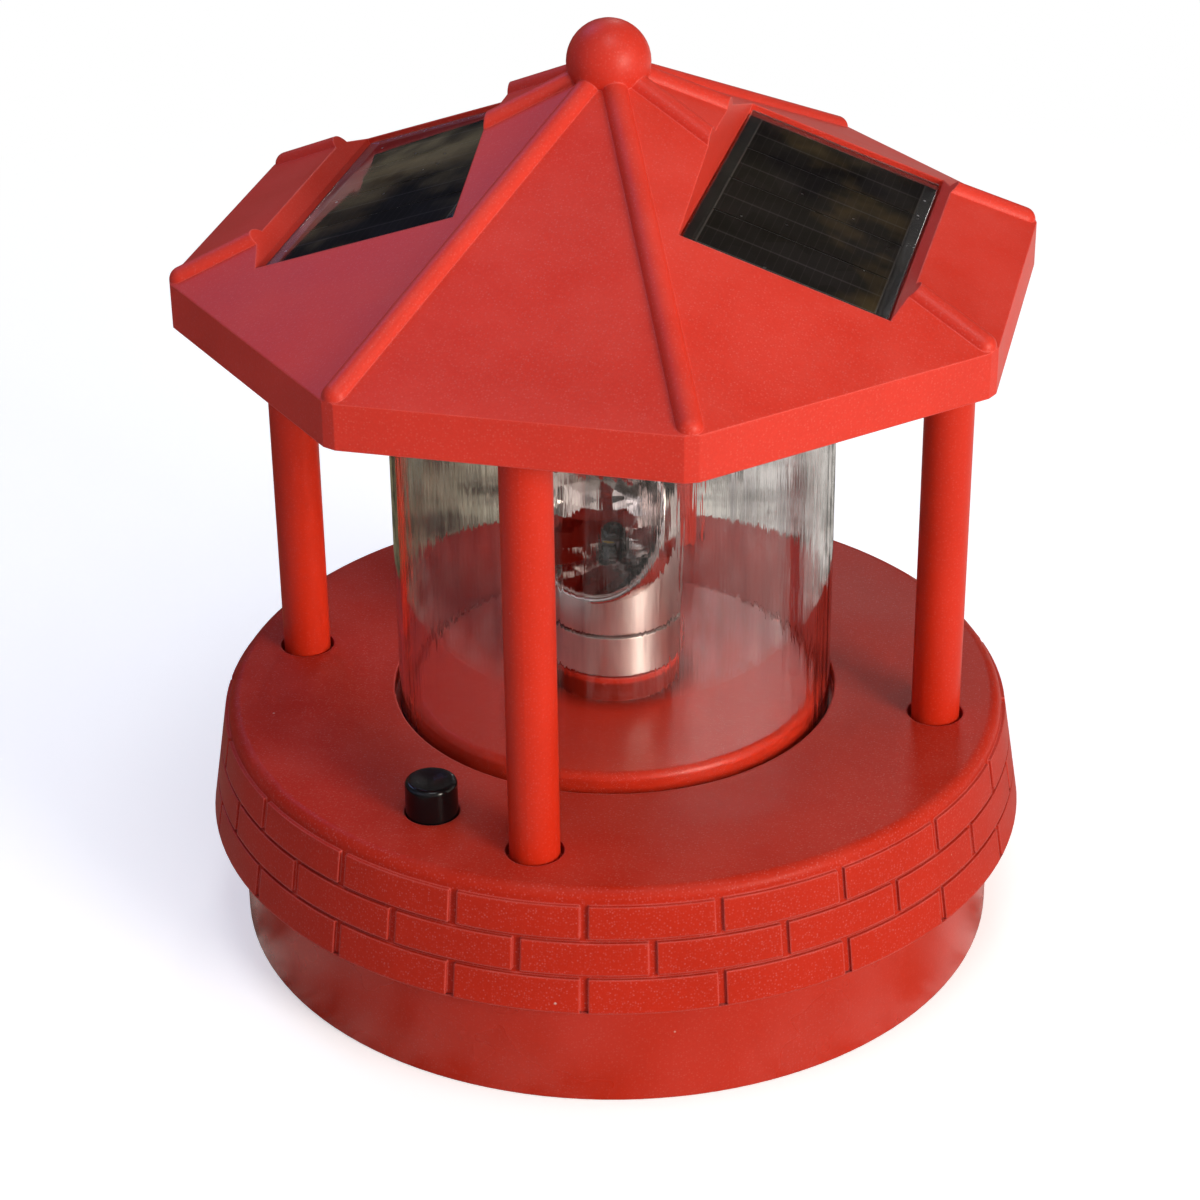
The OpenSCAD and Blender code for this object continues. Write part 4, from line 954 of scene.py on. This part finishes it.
def add_mirror_facets(bm, edge_ring, place, rings, sectors, first_r):
    """Fills the bowl with flat facets, each ring turned half a facet from the last."""
    per_facet = len(edge_ring) // sectors
    corners = [polar(first_r, i / sectors, -bowl_depth_at(first_r)) for i in range(sectors + 1)]
    chord = [
        bm.verts.new(place @ start.lerp(end, k / per_facet))
        for start, end in zip(corners, corners[1:])
        for k in range(per_facet)
    ]
    for i in range(len(edge_ring)):
        after = (i + 1) % len(edge_ring)
        bm.faces.new((edge_ring[i], edge_ring[after], chord[after], chord[i]))
    outer = [chord[i * per_facet : (i + 1) * per_facet] for i in range(sectors)]
    for ring in range(1, rings + 1):
        radius = first_r * (1 - ring / (rings + 0.35))
        shift = 0.5 * (ring % 2)
        inner = [
            bm.verts.new(place @ polar(radius, (i + shift) / sectors, -bowl_depth_at(radius)))
            for i in range(sectors)
        ]
        for i in range(sectors):
            after = (i + 1) % sectors
            facet_edge = [*outer[i], outer[after][0]]
            near, far = (i, after) if ring % 2 else (after, i)
            for facet in (
                [*facet_edge, inner[near]],
                [outer[far][0], inner[after], inner[i]],
            ):
                face = bm.faces.new(facet)
                face.material_index = 1
                face.smooth = False
        outer = [[vert] for vert in inner]
    face = bm.faces.new([ring[0] for ring in outer])
    face.material_index = 1


def make_lamp_bowl():
    """The plated neck and bowl, with a rounded bezel and a faceted mirror."""
    shapes = settings("shapes")
    place = bowl_place()
    segments = 4 * shapes.mirror_sectors
    rim = shapes.bezel_round
    inner_r = BOWL_R - BOWL_WALL
    depths = [BEZEL_DEPTH + (BOWL_DEPTH - BEZEL_DEPTH) * share for share in easing_shares(14)]
    profile = (
        [(inner_r, -2 * rim)]
        + corner(inner_r + rim, -rim, rim, 180, 90)
        + corner(BOWL_R - rim, -rim, rim, 90, 0)
        + corner(BOWL_R - rim / 2, -BEZEL_DEPTH + rim / 2, rim / 2, 0, -90, 3)
        + [(bowl_inner_r(depth) + BOWL_WALL, -depth) for depth in depths]
        + [(0, -BOWL_DEPTH - BOWL_WALL)]
    )
    bm = bmesh.new()
    outside = turn_profile(bm, profile, segments, place)
    first_r = inner_r - 0.35 * MM
    add_mirror_facets(bm, outside[0], place, shapes.mirror_rings, shapes.mirror_sectors, first_r)
    bowl = finish_mesh(bm, "lamp_bowl", shared("Bright Plate"), shared("Bowl Mirror"))

    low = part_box("reflector")[0].z
    drill = bmesh.new()
    start, end = low - MM, BOWL_Z - 4 * MM
    turn_profile(drill, [(0, start), (HEAD_BORE_R, start), (HEAD_BORE_R, end), (0, end)], 48)
    cut(bowl, finish_mesh(drill, "bore_tool"))

    neck = bmesh.new()
    edge = 0.35 * MM
    turn_profile(
        neck,
        [(HEAD_BORE_R, low)]
        + corner(HEAD_R - edge, low + edge, edge, -90, 0)
        + [(HEAD_R, HEAD_TOP_Z), (HEAD_BORE_R, HEAD_TOP_Z), (HEAD_BORE_R, low)],
        128,
    )
    bmesh.ops.remove_doubles(neck, verts=neck.verts, dist=1e-7)
    neck = finish_mesh(neck, "lamp_neck", shared("Satin Plate"))
    hollow = bmesh.new()
    slack = BOWL_WALL / 2
    depths = [BOWL_DEPTH * share for share in easing_shares(16)]
    turn_profile(
        hollow,
        [(0, BOWL_R), (2 * BOWL_R, BOWL_R), (2 * BOWL_R, 0)]
        + [(bowl_inner_r(depth) + slack, -depth) for depth in depths]
        + [(0, -BOWL_DEPTH - slack)],
        96,
        place,
    )
    cut(neck, finish_mesh(hollow, "hollow_tool"))
    for piece in (bowl, neck):
        smooth_by_angle(piece, SHARP_ANGLE, flat_material=1)
        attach(piece, "rotor")
        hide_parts("reflector")


def smooth_by_angle(piece, degrees, flat_material=None):
    """Shades a piece smoothly but for its sharp edges and the faces with the flat material."""
    mesh = piece.data
    mesh.set_sharp_from_angle(angle=math.radians(degrees))
    for face in mesh.polygons:
        face.use_smooth = face.material_index != flat_material


def make_light_source():
    """The light source: its domed resin body, two metal leads, the cup and the phosphor."""
    low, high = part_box("led_lamp")
    flange_r = (high.x - low.x) / 2
    body_r = flange_r - 0.3 * MM
    flange_top = low.z + MM
    edge = 0.15 * MM
    dome_z = high.z - body_r
    bm = bmesh.new()
    turn_profile(
        bm,
        [(0, low.z), (flange_r - 0.1 * MM, low.z)]
        + corner(flange_r - edge, flange_top - edge, edge, 0, 90, 3)
        + [(body_r, flange_top)]
        + corner(0, dome_z, body_r, 0, 90, 14)[:-1]
        + [(0, high.z)],
        64,
    )
    body = finish_mesh(bm, "lamp_body", shared("Lamp Resin"))
    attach(body, "lantern")
    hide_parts("led_lamp")

    bm = bmesh.new()
    lead = 0.5 * MM
    top = low.z + 4.4 * MM
    for x, height in ((-0.85 * MM, top), (0.75 * MM, top + 0.7 * MM)):
        made = bmesh.ops.create_cube(bm, size=1.0)["verts"]
        length = height - low.z - 0.1 * MM
        bmesh.ops.scale(bm, vec=(lead, lead, length), verts=made)
        bmesh.ops.translate(bm, vec=(x, 0, low.z + 0.1 * MM + length / 2), verts=made)
    cup = Matrix.Translation((-0.55 * MM, 0, top))
    turn_profile(
        bm,
        in_mm((0, -0.3), (0.55, -0.3), (0.95, 0.5), (0.85, 0.5), (0.45, -0.05), (0, -0.05)),
        32,
        cup,
    )
    leads = finish_mesh(bm, "lamp_leads", shared("Zinc Plate"))
    smooth_by_angle(leads, 30)
    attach(leads, "lantern")

    bm = bmesh.new()
    angles = (math.pi / 8, math.pi / 4, 3 * math.pi / 8)
    dome = [(0.72 * math.cos(a), 0.4 + 0.3 * math.sin(a)) for a in angles]
    turn_profile(bm, in_mm((0, -0.04), (0.44, -0.04), (0.72, 0.4), *dome, (0, 0.7)), 32, cup)
    chip = finish_mesh(bm, "lamp_phosphor", shared("Phosphor"))
    smooth_by_angle(chip, 40)
    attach(chip, "lantern")


def make_button():
    """The push button's cap with a rounded rim and a shallow dish, hollow for the plunger."""
    shapes = settings("shapes")
    low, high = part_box("button_cap")
    plunger_low, plunger_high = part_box("switch_plunger")
    x, y = (low.x + high.x) / 2, (low.y + high.y) / 2
    flange_r = (high.x - low.x) / 2
    body_r = 4.7 * MM
    bore_r = (plunger_high.x - plunger_low.x) / 2 + 0.06 * MM
    bore_top = plunger_high.z
    rim = 0.9 * MM
    dish_r = body_r - rim
    dish = [
        (dish_r * share, high.z - shapes.button_dish * (1 - share**2) ** 2)
        for share in (0.92, 0.82, 0.7, 0.56, 0.4, 0.22)
    ]
    bm = bmesh.new()
    flange_top = low.z + MM
    turn_profile(
        bm,
        [(0, bore_top), (bore_r, bore_top), (bore_r, low.z), (flange_r, low.z)]
        + [(flange_r, flange_top), (body_r + 0.05 * MM, flange_top)]
        + corner(body_r - rim, high.z - rim, rim, 0, 90, 8)
        + dish
        + [(0, high.z - shapes.button_dish)],
        96,
        Matrix.Translation((x, y, 0)),
    )
    cap = finish_mesh(bm, "push_button", shared("Button Plastic"))
    smooth_by_angle(cap, SHARP_ANGLE)
    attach(cap, "button")
    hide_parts("button_cap")


def make_spring():
    """The push button's coil spring, with closed flat ends, as one unbroken wire."""
    shapes = settings("shapes")
    low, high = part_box("button_spring")
    x, y = (low.x + high.x) / 2, (low.y + high.y) / 2
    wire_r = shapes.spring_wire / 2
    coil_r = (high.x - low.x) / 2 - wire_r
    first, last = low.z + wire_r, high.z - wire_r
    turns = shapes.spring_turns
    rise = (last - first - 4 * wire_r) / (turns - 2)
    per_turn, sides = 24, 10
    rings = []
    bm = bmesh.new()
    for step in range(per_turn * turns + 1):
        turn = step / per_turn
        if turn <= 1:
            height = first + 2 * wire_r * turn
        elif turn >= turns - 1:
            height = last - 2 * wire_r * (turns - turn)
        else:
            height = first + 2 * wire_r + rise * (turn - 1)
        out = polar(1, turn, 0)
        centre = Vector((x, y, height)) + coil_r * out
        circle = [polar(wire_r, k / sides, 0) for k in range(sides)]
        points = [centre + point.x * out + Vector((0, 0, point.y)) for point in circle]
        rings.append([bm.verts.new(point) for point in points])
    for before, after in zip(rings, rings[1:]):
        for k in range(sides):
            nxt = (k + 1) % sides
            face = bm.faces.new((before[k], before[nxt], after[nxt], after[k]))
            face.smooth = True
    bm.faces.new(rings[0])
    bm.faces.new(rings[-1])
    spring = finish_mesh(bm, "coil_spring", shared("Spring Wire"))
    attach(spring, "lantern")
    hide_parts("button_spring")
    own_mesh(spring)


def make_resin(side):
    """The resin slab over one panel's cells, rounded at its rim."""
    shapes = settings("shapes")
    hand = "right" if side > 0 else "left"
    low = PANEL_BOARD_T - PANEL_SEAT_DEEP + RESIN_LIFT
    high = PANEL_BOARD_T - PANEL_SEAT_DEEP + CELL_T + RESIN_T
    bm = bmesh.new()
    bmesh.ops.create_cube(bm, size=1.0)
    size = (PANEL_LEN - RESIN_PLAY, PANEL_W - RESIN_PLAY, high - low)
    bmesh.ops.scale(bm, vec=size, verts=bm.verts)
    bmesh.ops.translate(bm, vec=(0, 0, (high + low) / 2), verts=bm.verts)
    top = [edge for edge in bm.edges if all(vert.co.z > low + 1e-6 for vert in edge.verts)]
    upright = [edge for edge in bm.edges if abs(edge.verts[0].co.z - edge.verts[1].co.z) > 1e-6]
    rim = {"geom": top + upright, "offset": shapes.resin_round}
    bmesh.ops.bevel(bm, **rim, segments=5, profile=0.5, affect="EDGES")
    turn = Matrix.Rotation(0 if side > 0 else math.pi, 4, "Z")
    bm.transform(
        turn
        @ Matrix.Translation((PANEL_MID_X, 0, PANEL_MID_Z))
        @ Matrix.Rotation(PANEL_SLOPE, 4, "Y")
    )
    slab = finish_mesh(bm, "resin_" + hand, shared("Cell Resin"))
    smooth_by_angle(slab, 40)
    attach(slab, "lantern")
    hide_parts("solar_cover_" + hand)


# Stage

# Name, azimuth, elevation, distance, size and colour of each light panel
LIGHT_PANELS = (
    ("key", 56, 16, 1.2, (0.4, 0.4), (1.0, 0.93, 0.8)),
    ("top", 25, 72, 1.2, (0.4, 0.4), (0.96, 0.98, 1.0)),
    ("fill", -130, 45, 1.3, (0.5, 0.5), (0.3, 0.45, 1.0)),
    ("back", 186, 30, 1.3, (0.16, 0.22), (1.0, 0.97, 0.94)),
)
LIT_POINT = Vector((0, 0, 0.08))
FLOOR_RINGS = (0, 0.1, 0.2, 0.4, 0.8, 1.6, 3.0)
FLOOR_DROP = 0.2 * MM
FLOOR_LIFT = 0.48
FADE_START, FADE_END = 0.14, 0.45
MOTTLE_SCALE = 42.0
CLOUD_BANKS = 5.0
SENSOR_W = 36
WHITE = (1, 1, 1, 1)
COOL_SKY = (0.36, 0.43, 0.72, 1.0)
WARM_SKY = (1.10, 1.04, 0.97, 1.0)
EARTHY_SKY = (0.85, 0.70, 0.45, 1.0)
SKY_IN_TUBE = (1.15, 1.10, 1.02, 1.0)
SOIL = (0.05, 0.05, 0.04, 1.0)
PALE_STONE = (0.62, 0.58, 0.54, 1.0)
OCHRE_STONE = (0.60, 0.50, 0.28, 1.0)


def add_camera():
    """The camera at the photograph's viewing angle."""
    stage = settings("stage")
    rise, roll = stage.elevation, stage.roll
    forward = Vector((0, math.cos(rise), -math.sin(rise)))
    right = Vector((1, 0, 0))
    up = right.cross(forward)
    rolled_right = math.cos(roll) * right + math.sin(roll) * up
    rolled_up = math.cos(roll) * up - math.sin(roll) * right
    place = Vector((stage.target_side, 0, stage.target_height)) - stage.distance * forward
    turn = Matrix.Rotation(stage.azimuth, 4, "Z")
    camera = bpy.data.objects.new("camera", bpy.data.cameras.new("camera"))
    bpy.context.scene.collection.objects.link(camera)
    camera.data.lens = stage.lens
    camera.data.sensor_width = SENSOR_W
    camera.data.clip_start, camera.data.clip_end = 0.01, 20
    axes = Matrix((rolled_right, rolled_up, -forward)).transposed().to_4x4()
    camera.matrix_world = turn @ Matrix.Translation(place) @ axes
    bpy.context.scene.camera = camera


def add_light_panel(name, level, azimuth, elevation, distance, size, colour):
    """A soft light panel that gives the level of light to a face turned to it."""
    a, e = math.radians(azimuth), math.radians(elevation)
    out = Vector((math.sin(a) * math.cos(e), -math.cos(a) * math.cos(e), math.sin(e)))
    light = bpy.data.lights.new(name, "AREA")
    light.shape = "RECTANGLE"
    light.size, light.size_y = size
    light.energy = level * (math.pi * distance) ** 2
    light.color = colour
    lamp = bpy.data.objects.new(name, light)
    bpy.context.scene.collection.objects.link(lamp)
    lamp.location = LIT_POINT + distance * out
    lamp.rotation_mode = "QUATERNION"
    lamp.rotation_quaternion = (-out).to_track_quat("-Z", "Y")
    lamp.visible_camera = False


def add_sky():
    """Soft light from all round, cooler on the left.

    Glossy faces mirror clouds in it, and the lamp head sees it paler through the tube.
    """
    world = bpy.data.worlds.new("studio")
    bpy.context.scene.world = world
    world.use_nodes = True
    world.node_tree.nodes.clear()
    r = Recipe(world.node_tree)
    rays = r.node("ShaderNodeLightPath").outputs
    glossy = rays["Is Glossy Ray"]
    direction = r.node("ShaderNodeTexCoord").outputs["Generated"]
    east, north = r.parts(direction)[:2]
    clouds = r.ramp(r.noise(direction, CLOUD_BANKS, 4.0, 0.7), 0.42, 0.58, 0.05, 1.6)
    behind = r.ramp(east, -0.5, -0.1, 0.45, 0.1)
    front = r.plus(r.ramp(north, -0.6, 0.2, 2.0, 0.0), behind)
    edge = r.ramp(r.vector("DOT_PRODUCT", direction, (0.98, -0.2, 0.0)), 0.8, 0.9, 0.0, 3.0)
    mirrored = r.plus(r.times(front, clouds), edge)
    share = r.times(glossy, r.minus(mirrored, 1.0))
    dim = r.times(r.plus(share, 1.0), settings("stage").sky_level)
    side = r.vector("DOT_PRODUCT", direction, (0.95, -0.3, 0.0))
    tone = r.mix(r.ramp(side, -0.8, 0.8), COOL_SKY, WARM_SKY)
    tone = r.mix(r.times(r.ramp(north, -0.2, 0.4), glossy), tone, EARTHY_SKY)
    tone = r.mix(r.times(rays["Is Transmission Ray"], 0.7), tone, SKY_IN_TUBE)
    soft = r.node("ShaderNodeBackground", {"Color": tone, "Strength": dim}).outputs[0]
    white = r.node("ShaderNodeBackground", {"Color": WHITE, "Strength": 1.0}).outputs[0]
    seen = r.blend(rays["Is Camera Ray"], soft, white)
    r.node("ShaderNodeOutputWorld", {"Surface": seen})


def add_floor():
    """A pale level floor that keeps the shadow and turns into the white background.

    Glossy and clear faces see a mottled, darker ground in it, as they would outdoors.
    """
    bm = bmesh.new()
    turn_profile(bm, [(radius, 0) for radius in FLOOR_RINGS], 96, smooth=False)
    r = Finish("Studio Floor")
    rays = r.node("ShaderNodeLightPath").outputs
    seen = rays["Is Camera Ray"]
    mirrored = r.math("MAXIMUM", rays["Is Glossy Ray"], rays["Is Transmission Ray"])
    place = r.place()
    paper = r.noise(place, 600.0, 3.0)
    sheet = r.shader(
        Base_Color=r.mix(paper, (0.80, 0.80, 0.80, 1.0), (0.84, 0.84, 0.84, 1.0)),
        Roughness=r.ramp(paper, 0.3, 0.7, 0.8, 0.9),
        Specular_IOR_Level=0.1,
    )
    lift = r.glow(WHITE, r.times(seen, FLOOR_LIFT))
    near = r.node("ShaderNodeAddShader", {0: sheet, 1: lift}).outputs[0]
    far = r.times(r.ramp(r.vector("LENGTH", place), FADE_START, FADE_END), seen)
    studio = r.blend(far, near, r.glow(WHITE, 1.0))
    across = r.vector("DOT_PRODUCT", place, (0.97, 0.24, 0.0))
    mottle = r.ramp(r.noise(place, MOTTLE_SCALE, 4.0, 0.7), 0.4, 0.6)
    mottle = r.math("MAXIMUM", mottle, r.ramp(across, 0.1, 0.16, 0.0, 0.6))
    beyond = r.ramp(r.parts(place)[1], 0.0, 0.08)
    left = r.times(r.ramp(across, -0.1, 0.05, 1.0, 0.0), beyond)
    bright = r.ramp(across, -0.2, 0.2, 0.25, 1.8)
    bright = r.times(bright, r.minus(1.0, r.times(left, 0.45)))
    ground = r.mix(mottle, SOIL, r.mix(left, PALE_STONE, OCHRE_STONE))
    outdoors = r.glow(ground, bright)
    floor = finish_mesh(bm, "floor", r.covered(r.blend(mirrored, studio, outdoors)))
    floor.location.z = -FLOOR_DROP


# Operators


class LANTERN_OT_roof(bpy.types.Operator):
    """Finish the roof, the ceiling plate under it and their screws"""

    bl_idname = "lantern.roof"
    bl_label = "Roof"

    def execute(self, context):
        colours = settings("colours")
        roof = moulded_plastic(
            "Roof Plastic", colours.roof, 0.45, specular=0.26, rub_and_highlight=0.75, radius=1.4, grain=0.6
        )
        dress(roof, "roof_shell")
        ceiling = moulded_plastic("Ceiling Plastic", colours.deck, 0.45, dust=0.4)
        dress(ceiling, "ceiling_plate")
        dress(shared("Zinc Plate"), "roof_screws")
        return {"FINISHED"}


class LANTERN_OT_solar_panels(bpy.types.Operator):
    """Finish the solar boards and cells and pour the resin over them"""

    bl_idname = "lantern.solar_panels"
    bl_label = "Solar Panels"

    def execute(self, context):
        board = board_laminate("Panel Board", srgb(14, 13, 15), copper=0.0)
        dress(board, "solar_board_left", "solar_board_right")
        dress(solar_silicon(-1), "solar_cells_left")
        dress(solar_silicon(1), "solar_cells_right")
        make_resin(-1)
        make_resin(1)
        return {"FINISHED"}


class LANTERN_OT_pillars(bpy.types.Operator):
    """Finish the four pillars"""

    bl_idname = "lantern.pillars"
    bl_label = "Pillars"

    def execute(self, context):
        colours = settings("colours")
        pillar = moulded_plastic("Pillar Plastic", colours.pillars, 0.36, rub_and_highlight=0.25, grain=0.4)
        dress(pillar, "pillar_front", "pillar_back", "pillar_left", "pillar_right")
        return {"FINISHED"}


class LANTERN_OT_lens_tube(bpy.types.Operator):
    """Finish the clear tube and the seals at its ends"""

    bl_idname = "lantern.lens_tube"
    bl_label = "Lens Tube"

    def execute(self, context):
        dress(tube_acrylic(), "lens_tube")
        dress(seal_rubber(), "tube_seal_top", "tube_seal_bottom")
        return {"FINISHED"}


class LANTERN_OT_deck(bpy.types.Operator):
    """Finish the deck with its brick band, the disc inside the tube and the turning bush"""

    bl_idname = "lantern.deck"
    bl_label = "Deck"

    def execute(self, context):
        colours = settings("colours")
        deck = moulded_plastic(
            "Deck Plastic", colours.deck, 0.42, specular=0.12, rub_and_highlight=1.0, radius=1.7, grain=0.9
        )
        dress(deck, "deck_housing")
        # The disc has the deck's colour made darker: painted shade for the disc under the roof
        colour = shade(colours.deck, 0.88)
        # Painted shade round the disc's collar, under the lamp head
        painted_shade = (HEAD_R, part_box("inner_disc")[1].z)
        disc = moulded_plastic("Disc Plastic", colour, 0.34, dust=0.6, grain=0.6, painted_shade=painted_shade)
        dress(disc, "inner_disc")
        dress(shared("Zinc Plate"), "disc_screws")
        dress(shared("Turned Brass"), "rotor_bush")
        return {"FINISHED"}


class LANTERN_OT_lamp_head(bpy.types.Operator):
    """Finish the turning head and its gear and model the plated bowl"""

    bl_idname = "lantern.lamp_head"
    bl_label = "Lamp Head"

    def execute(self, context):
        dress(shared("Satin Plate"), "rotor_hub")
        dress(shared("White Moulding"), "rotor_gear")
        make_lamp_bowl()
        return {"FINISHED"}


class LANTERN_OT_light_source(bpy.types.Operator):
    """Model the light source and finish the post that it stands on"""

    bl_idname = "lantern.light_source"
    bl_label = "Light Source"

    def execute(self, context):
        dress(shared("White Moulding"), "led_post")
        make_light_source()
        return {"FINISHED"}


class LANTERN_OT_push_button(bpy.types.Operator):
    """Model the push button and its spring and finish the switch under it"""

    bl_idname = "lantern.push_button"
    bl_label = "Push Button"

    def execute(self, context):
        make_button()
        make_spring()
        dress(shared("White Moulding"), "switch_plunger")
        dress(shared("Black Moulding"), "switch_body")
        return {"FINISHED"}


class LANTERN_OT_drive(bpy.types.Operator):
    """Finish the drive plate, the motor and its pinion"""

    bl_idname = "lantern.drive"
    bl_label = "Drive"

    def execute(self, context):
        dress(shared("Black Moulding"), "drive_plate")
        dress(shared("Zinc Plate"), "drive_screws", "motor_screws")
        steel = plated_metal("Motor Steel", srgb(186, 187, 192), 0.34, lines=0.8)
        dress(steel, "motor", "motor_shaft")
        dress(shared("Turned Brass"), "drive_pinion")
        return {"FINISHED"}


class LANTERN_OT_electronics(bpy.types.Operator):
    """Finish the control board, its parts and the leads"""

    bl_idname = "lantern.electronics"
    bl_label = "Electronics"

    def execute(self, context):
        dress(board_laminate("Board Laminate", srgb(22, 92, 52)), "circuit_board")
        dress(shared("Black Moulding"), "board_parts")
        dress(shared("Zinc Plate"), "board_screws")
        black = wire_insulation("Black Wire", srgb(24, 24, 26))
        dress(black, "panel_leads", "motor_leads")
        dress(wire_insulation("Red Wire", srgb(170, 28, 24)), "battery_leads")
        dress(wire_insulation("White Wire", srgb(214, 213, 206)), "led_leads")
        return {"FINISHED"}


class LANTERN_OT_base(bpy.types.Operator):
    """Finish the base ring, the battery door, the cell and its contacts"""

    bl_idname = "lantern.base"
    bl_label = "Base"

    def execute(self, context):
        colours = settings("colours")
        base = moulded_plastic("Base Plastic", colours.base, 0.27, specular=0.4, grain=0.5)
        dress(base, "base_cover", "battery_door")
        dress(shared("Zinc Plate"), "base_screws", "door_screw")
        dress(cell_sleeve(), "battery_cell")
        contacts = plated_metal("Contact Plate", srgb(208, 206, 202), 0.25)
        dress(contacts, "battery_contacts")
        return {"FINISHED"}


class LANTERN_OT_stage(bpy.types.Operator):
    """Add the camera, the floor and the studio light"""

    bl_idname = "lantern.stage"
    bl_label = "Stage"

    def execute(self, context):
        add_camera()
        add_sky()
        add_floor()
        for name, *values in LIGHT_PANELS:
            add_light_panel(name, getattr(settings("stage"), name + "_level"), *values)
        context.scene.view_settings.view_transform = "Standard"
        return {"FINISHED"}


class LANTERN_PT_build(bpy.types.Panel):
    """Builds the lantern piece by piece"""

    bl_label = "Lantern"
    bl_idname = "LANTERN_PT_build"
    bl_space_type = "VIEW_3D"
    bl_region_type = "UI"
    bl_category = "Lantern"

    def draw(self, context):
        layout = self.layout
        for operator in OPERATORS:
            layout.operator(operator.bl_idname)
        for name, title, group in SETTINGS:
            layout.label(text=title)
            for setting in group.__annotations__:
                layout.prop(getattr(context.scene, name), setting)


OPERATORS = (
    LANTERN_OT_roof,
    LANTERN_OT_solar_panels,
    LANTERN_OT_pillars,
    LANTERN_OT_lens_tube,
    LANTERN_OT_deck,
    LANTERN_OT_lamp_head,
    LANTERN_OT_light_source,
    LANTERN_OT_push_button,
    LANTERN_OT_drive,
    LANTERN_OT_electronics,
    LANTERN_OT_base,
    LANTERN_OT_stage,
)
# Name on a scene, title in the panel and class of each group of settings
SETTINGS = (
    ("lantern_colours", "Colours", LanternColours),
    ("lantern_surface", "Surface", LanternSurface),
    ("lantern_shapes", "Shapes", LanternShapes),
    ("lantern_stage", "Camera and Light", LanternStage),
)
CLASSES = (*(group[2] for group in SETTINGS), *OPERATORS, LANTERN_PT_build)


def register():
    for cls in CLASSES:
        bpy.utils.register_class(cls)
    for name, _, group in SETTINGS:
        setattr(bpy.types.Scene, name, PointerProperty(type=group))


def unregister():
    for name, _, _ in SETTINGS:
        delattr(bpy.types.Scene, name)
    for cls in reversed(CLASSES):
        bpy.utils.unregister_class(cls)


def main():
    register()
    for operator in OPERATORS:
        group, name = operator.bl_idname.split(".")
        getattr(getattr(bpy.ops, group), name)()


if __name__ == "__main__":
    main()
